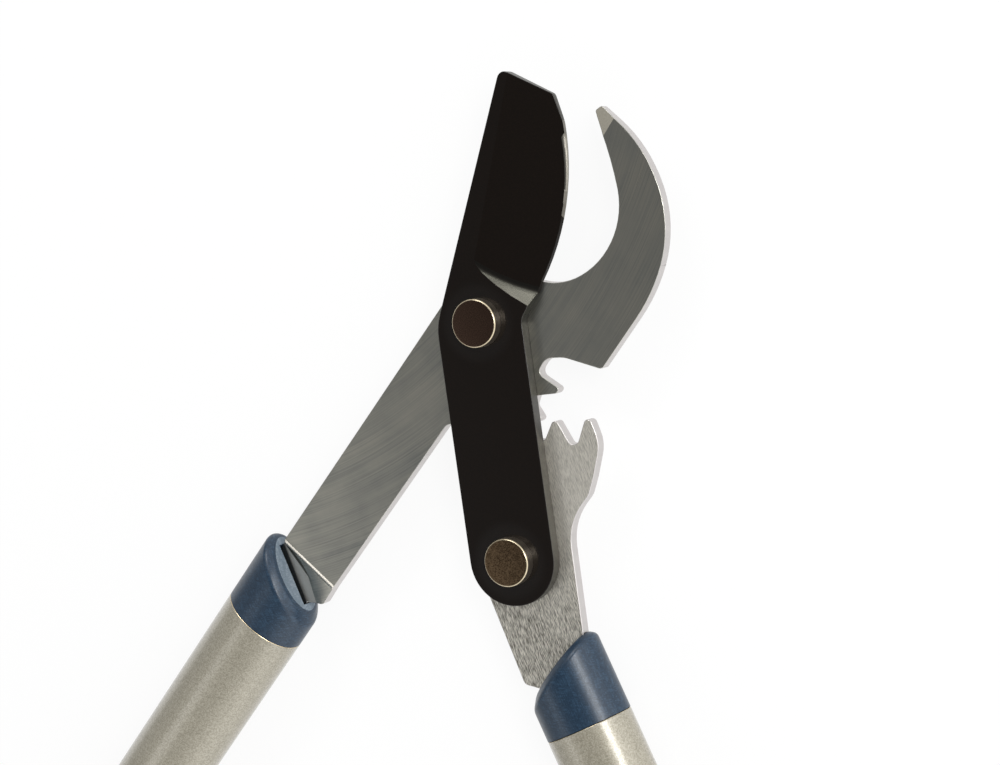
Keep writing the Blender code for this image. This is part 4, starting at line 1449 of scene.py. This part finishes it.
    def add_sleeve(self) -> None:
        """Soft sleeve with rounded ribs across the hand."""
        start, end = self.sleeve[0] + CLEARANCE, self.sleeve[1] - CLEARANCE
        length, drop = self.sleeve_lip
        near, far = start + length, end - length
        band = [
            (self.radius_at(start) - self.sleeve_wall, -start),
            (self.radius_at(start) - drop, -start),
            (self.radius_at(near) - self.sleeve_sink, -near),
        ]
        for rib in range(int((end - start - 2 * self.rib_margin) / self.rib_pitch)):
            for share, sink in self.rib_shape:
                at = start + self.rib_margin + (rib + share) * self.rib_pitch
                radius = self.radius_at(at) - self.sleeve_sink - sink * self.rib_depth
                band.append((radius, -at))
        band += [
            (self.radius_at(far) - self.sleeve_sink, -far), (self.radius_at(end) - drop, -end),
            (self.radius_at(end) - self.sleeve_wall, -end), band[0],
        ]
        sleeve = spun(self.side + "_grip_sleeve", band, self.steps)
        self.lay_down(sleeve)
        smooth(sleeve, 60.0)
        dress(sleeve, RUBBER)
        self.hand_over(sleeve, "grip_rubber", self.side + "_soft_sleeve")

    def add_end_cap(self) -> None:
        """Rounded end cap with a shallow ring around its middle."""
        start = self.tube_length + CLEARANCE
        end = start + self.cap_thickness
        plug, plug_end = self.tube_bore - CLEARANCE, self.plug_length - self.tube_length
        rim = self.grip_radius - self.grip_rounding
        profile = [(0, plug_end), (plug, plug_end), (plug, -start), (rim, -start)]
        profile += [(self.grip_radius - inward, above - end) for inward, above in self.cap_edge]
        profile += [(radius, above - end) for radius, above in self.cap_ring] + [(0, -end)]
        cap = spun(self.side + "_grip_cap", profile, self.steps)
        self.lay_down(cap)
        smooth(cap, 40.0)
        dress(cap, GRIP)
        self.hand_over(cap, "grip_plastic", self.side + "_end_cap")


# Studio


@dataclass(frozen=True)
class SoftLamp:
    """A rectangular soft box that looks at the head."""

    name: str
    azimuth: float
    elevation: float
    distance: float
    size: tuple[float, float]
    radiance: float

    def hang(self) -> None:
        """Hang the lamp and turn it to the head of the lopper."""
        data = bpy.data.lights.new(self.name, "AREA")
        data.shape = "RECTANGLE"
        data.size, data.size_y = self.size
        data.energy = self.radiance * pi * self.size[0] * self.size[1]
        lamp = bpy.data.objects.new(self.name, data)
        bpy.context.scene.collection.objects.link(lamp)
        azimuth, elevation = radians(self.azimuth), radians(self.elevation)
        toward = Vector((
            cos(elevation) * cos(azimuth), cos(elevation) * sin(azimuth), sin(elevation)
        ))
        lamp.location = toward * self.distance
        lamp.rotation_euler = toward.to_track_quat("Z", "Y").to_euler()


@dataclass
class Studio:
    """White table, soft lamps, the sky of white walls and a darker ceiling, and the camera.

    The sky is darker around the shaded side and brighter opposite. A span is the
    cosine of the angle to that side. The ceiling's rise is two elevations in
    degrees, and the table's size and the lamps' places and sizes are in metres.
    """

    table_size: float = 12.0
    table_drop: float = 0.3
    table_whiteness: float = 0.9
    lens: float = 79.2
    position: tuple[float, float, float] = (310.76, 86.47, 606.57)
    azimuth: float = 18.958
    tilt: float = 28.539
    roll: float = -12.946
    wall_level: float = 1.0
    ceiling_level: float = 0.14
    ceiling_rise: tuple[float, float] = (34.0, 72.0)
    shaded_side: float = 172.0
    shade_span: tuple[float, float] = (0.35, 0.9)
    shade_level: float = 0.38
    glow_span: tuple[float, float] = (-0.75, -0.1)
    glow_level: float = 1.55
    lamps: tuple[SoftLamp, ...] = (
        SoftLamp("window_strip", 25.7, 50.0, 1.4, (0.55, 0.34), 12.0),
        SoftLamp("rear_soft_box", 112.0, 41.0, 1.6, (0.7, 0.4), 6.0),
        SoftLamp("front_soft_box", 212.0, 44.0, 1.6, (0.5, 0.25), 1.6),
        SoftLamp("high_rear_box", 91.0, 57.0, 1.6, (0.3, 0.3), 3.2),
    )

    def build(self) -> None:
        """Set up everything around the object."""
        self.add_table()
        self.add_sky()
        for lamp in self.lamps:
            lamp.hang()
        self.add_camera()

    def add_table(self) -> None:
        """Wide white table that shows as white and keeps a faint shadow."""
        bpy.ops.object.select_all(action="DESELECT")
        bpy.ops.mesh.primitive_plane_add(
            size=self.table_size, location=(0, 0, -self.table_drop * MM)
        )
        table = bpy.context.active_object
        table.name = "white_table"
        finish = bpy.data.materials.new("white_table_top")
        finish.use_nodes = True
        tree = finish.node_tree
        tree.nodes.clear()
        paths = tree.nodes.new("ShaderNodeLightPath")
        seen = paths.outputs["Is Camera Ray"]
        for ray in ("Is Glossy Ray", "Is Transmission Ray"):
            seen = add_node(
                tree, "ShaderNodeMath", {"operation": "MAXIMUM"}, {0: seen, 1: paths.outputs[ray]}
            ).outputs[0]
        lifted = add_node(
            tree, "ShaderNodeMath", {"operation": "MULTIPLY"}, {0: seen, 1: self.table_whiteness}
        )
        top = add_node(tree, "ShaderNodeBsdfDiffuse", inputs={"Color": linear("#fafafa")})
        glow = add_node(
            tree, "ShaderNodeEmission", inputs={"Color": linear("#ffffff"), "Strength": 1.0}
        )
        mixed = add_node(
            tree, "ShaderNodeMixShader",
            inputs={0: lifted.outputs[0], 1: top.outputs[0], 2: glow.outputs[0]},
        )
        add_node(tree, "ShaderNodeOutputMaterial", inputs={"Surface": mixed.outputs[0]})
        table.data.materials.append(finish)

    def add_sky(self) -> None:
        """Sky that is white at the walls and darker overhead, and white to the camera."""
        world = bpy.data.worlds.new("studio_walls")
        bpy.context.scene.world = world
        world.use_nodes = True
        tree = world.node_tree
        tree.nodes.clear()
        toward = tree.nodes.new("ShaderNodeTexCoord").outputs["Generated"]
        parts = add_node(tree, "ShaderNodeSeparateXYZ", inputs={0: toward})
        rise_start, rise_end = [sin(radians(elevation)) for elevation in self.ceiling_rise]
        level = add_node(
            tree, "ShaderNodeMapRange", SOFT_STEP,
            {
                "Value": parts.outputs["Z"], "From Min": rise_start, "From Max": rise_end,
                "To Min": self.wall_level, "To Max": self.ceiling_level,
            },
        )
        azimuth = radians(self.shaded_side)
        facing = add_node(
            tree, "ShaderNodeVectorMath", {"operation": "DOT_PRODUCT"},
            {0: toward, 1: (cos(azimuth), sin(azimuth), 0.0)},
        )
        strength = level.outputs[0]
        for span, before, after in (
            (self.shade_span, 1.0, self.shade_level), (self.glow_span, self.glow_level, 1.0),
        ):
            factor = add_node(
                tree, "ShaderNodeMapRange", SOFT_STEP,
                {
                    "Value": facing.outputs["Value"], "From Min": span[0], "From Max": span[1],
                    "To Min": before, "To Max": after,
                },
            )
            strength = add_node(
                tree, "ShaderNodeMath", {"operation": "MULTIPLY"},
                {0: strength, 1: factor.outputs[0]},
            ).outputs[0]
        paths = tree.nodes.new("ShaderNodeLightPath")
        shown = add_node(
            tree, "ShaderNodeMix", {"data_type": "FLOAT"},
            {0: paths.outputs["Is Camera Ray"], 2: strength, 3: 1.0},
        )
        sky = add_node(
            tree, "ShaderNodeBackground",
            inputs={"Color": linear("#ffffff"), "Strength": shown.outputs[0]},
        )
        add_node(tree, "ShaderNodeOutputWorld", inputs={"Surface": sky.outputs[0]})

    def add_camera(self) -> None:
        """Camera at the photograph's place above the right side of the head."""
        data = bpy.data.cameras.new("camera")
        data.lens = self.lens
        data.sensor_fit = "HORIZONTAL"
        data.sensor_width = 36.0
        data.clip_start = 0.02
        camera = bpy.data.objects.new("camera", data)
        bpy.context.scene.collection.objects.link(camera)
        turn = (
            Matrix.Rotation(radians(self.azimuth), 4, "Z")
            @ Matrix.Rotation(radians(self.tilt), 4, "Y")
            @ Matrix.Rotation(radians(self.roll), 4, "Z")
        )
        camera.matrix_world = Matrix.Translation(Vector(self.position) * MM) @ turn
        bpy.context.scene.camera = camera
        bpy.context.scene.view_settings.view_transform = "Standard"


def main() -> None:
    """Build the studio, the head and the handles in order."""
    logging.basicConfig(level=logging.INFO, format="%(name)s: %(message)s")
    Studio().build()
    Plates().build()
    Pivot("jaw", "hook_lever", Body.HOOK_SIDE, (0.0, 0.0), PIN_FACE_JAW).build()
    Pivot("link", "gear_lever", Body.GEAR_SIDE, LINK_CENTRE, PIN_FACE_LINK).build()
    HandleArm("left", Body.HOOK_SIDE, LEFT_SEAM, -HANDLE_TURN, -1).build()
    HandleArm("right", Body.GEAR_SIDE, RIGHT_SEAM, HANDLE_TURN, 1, mouth_outer=12.6).build()


if __name__ == "__main__":
    main()
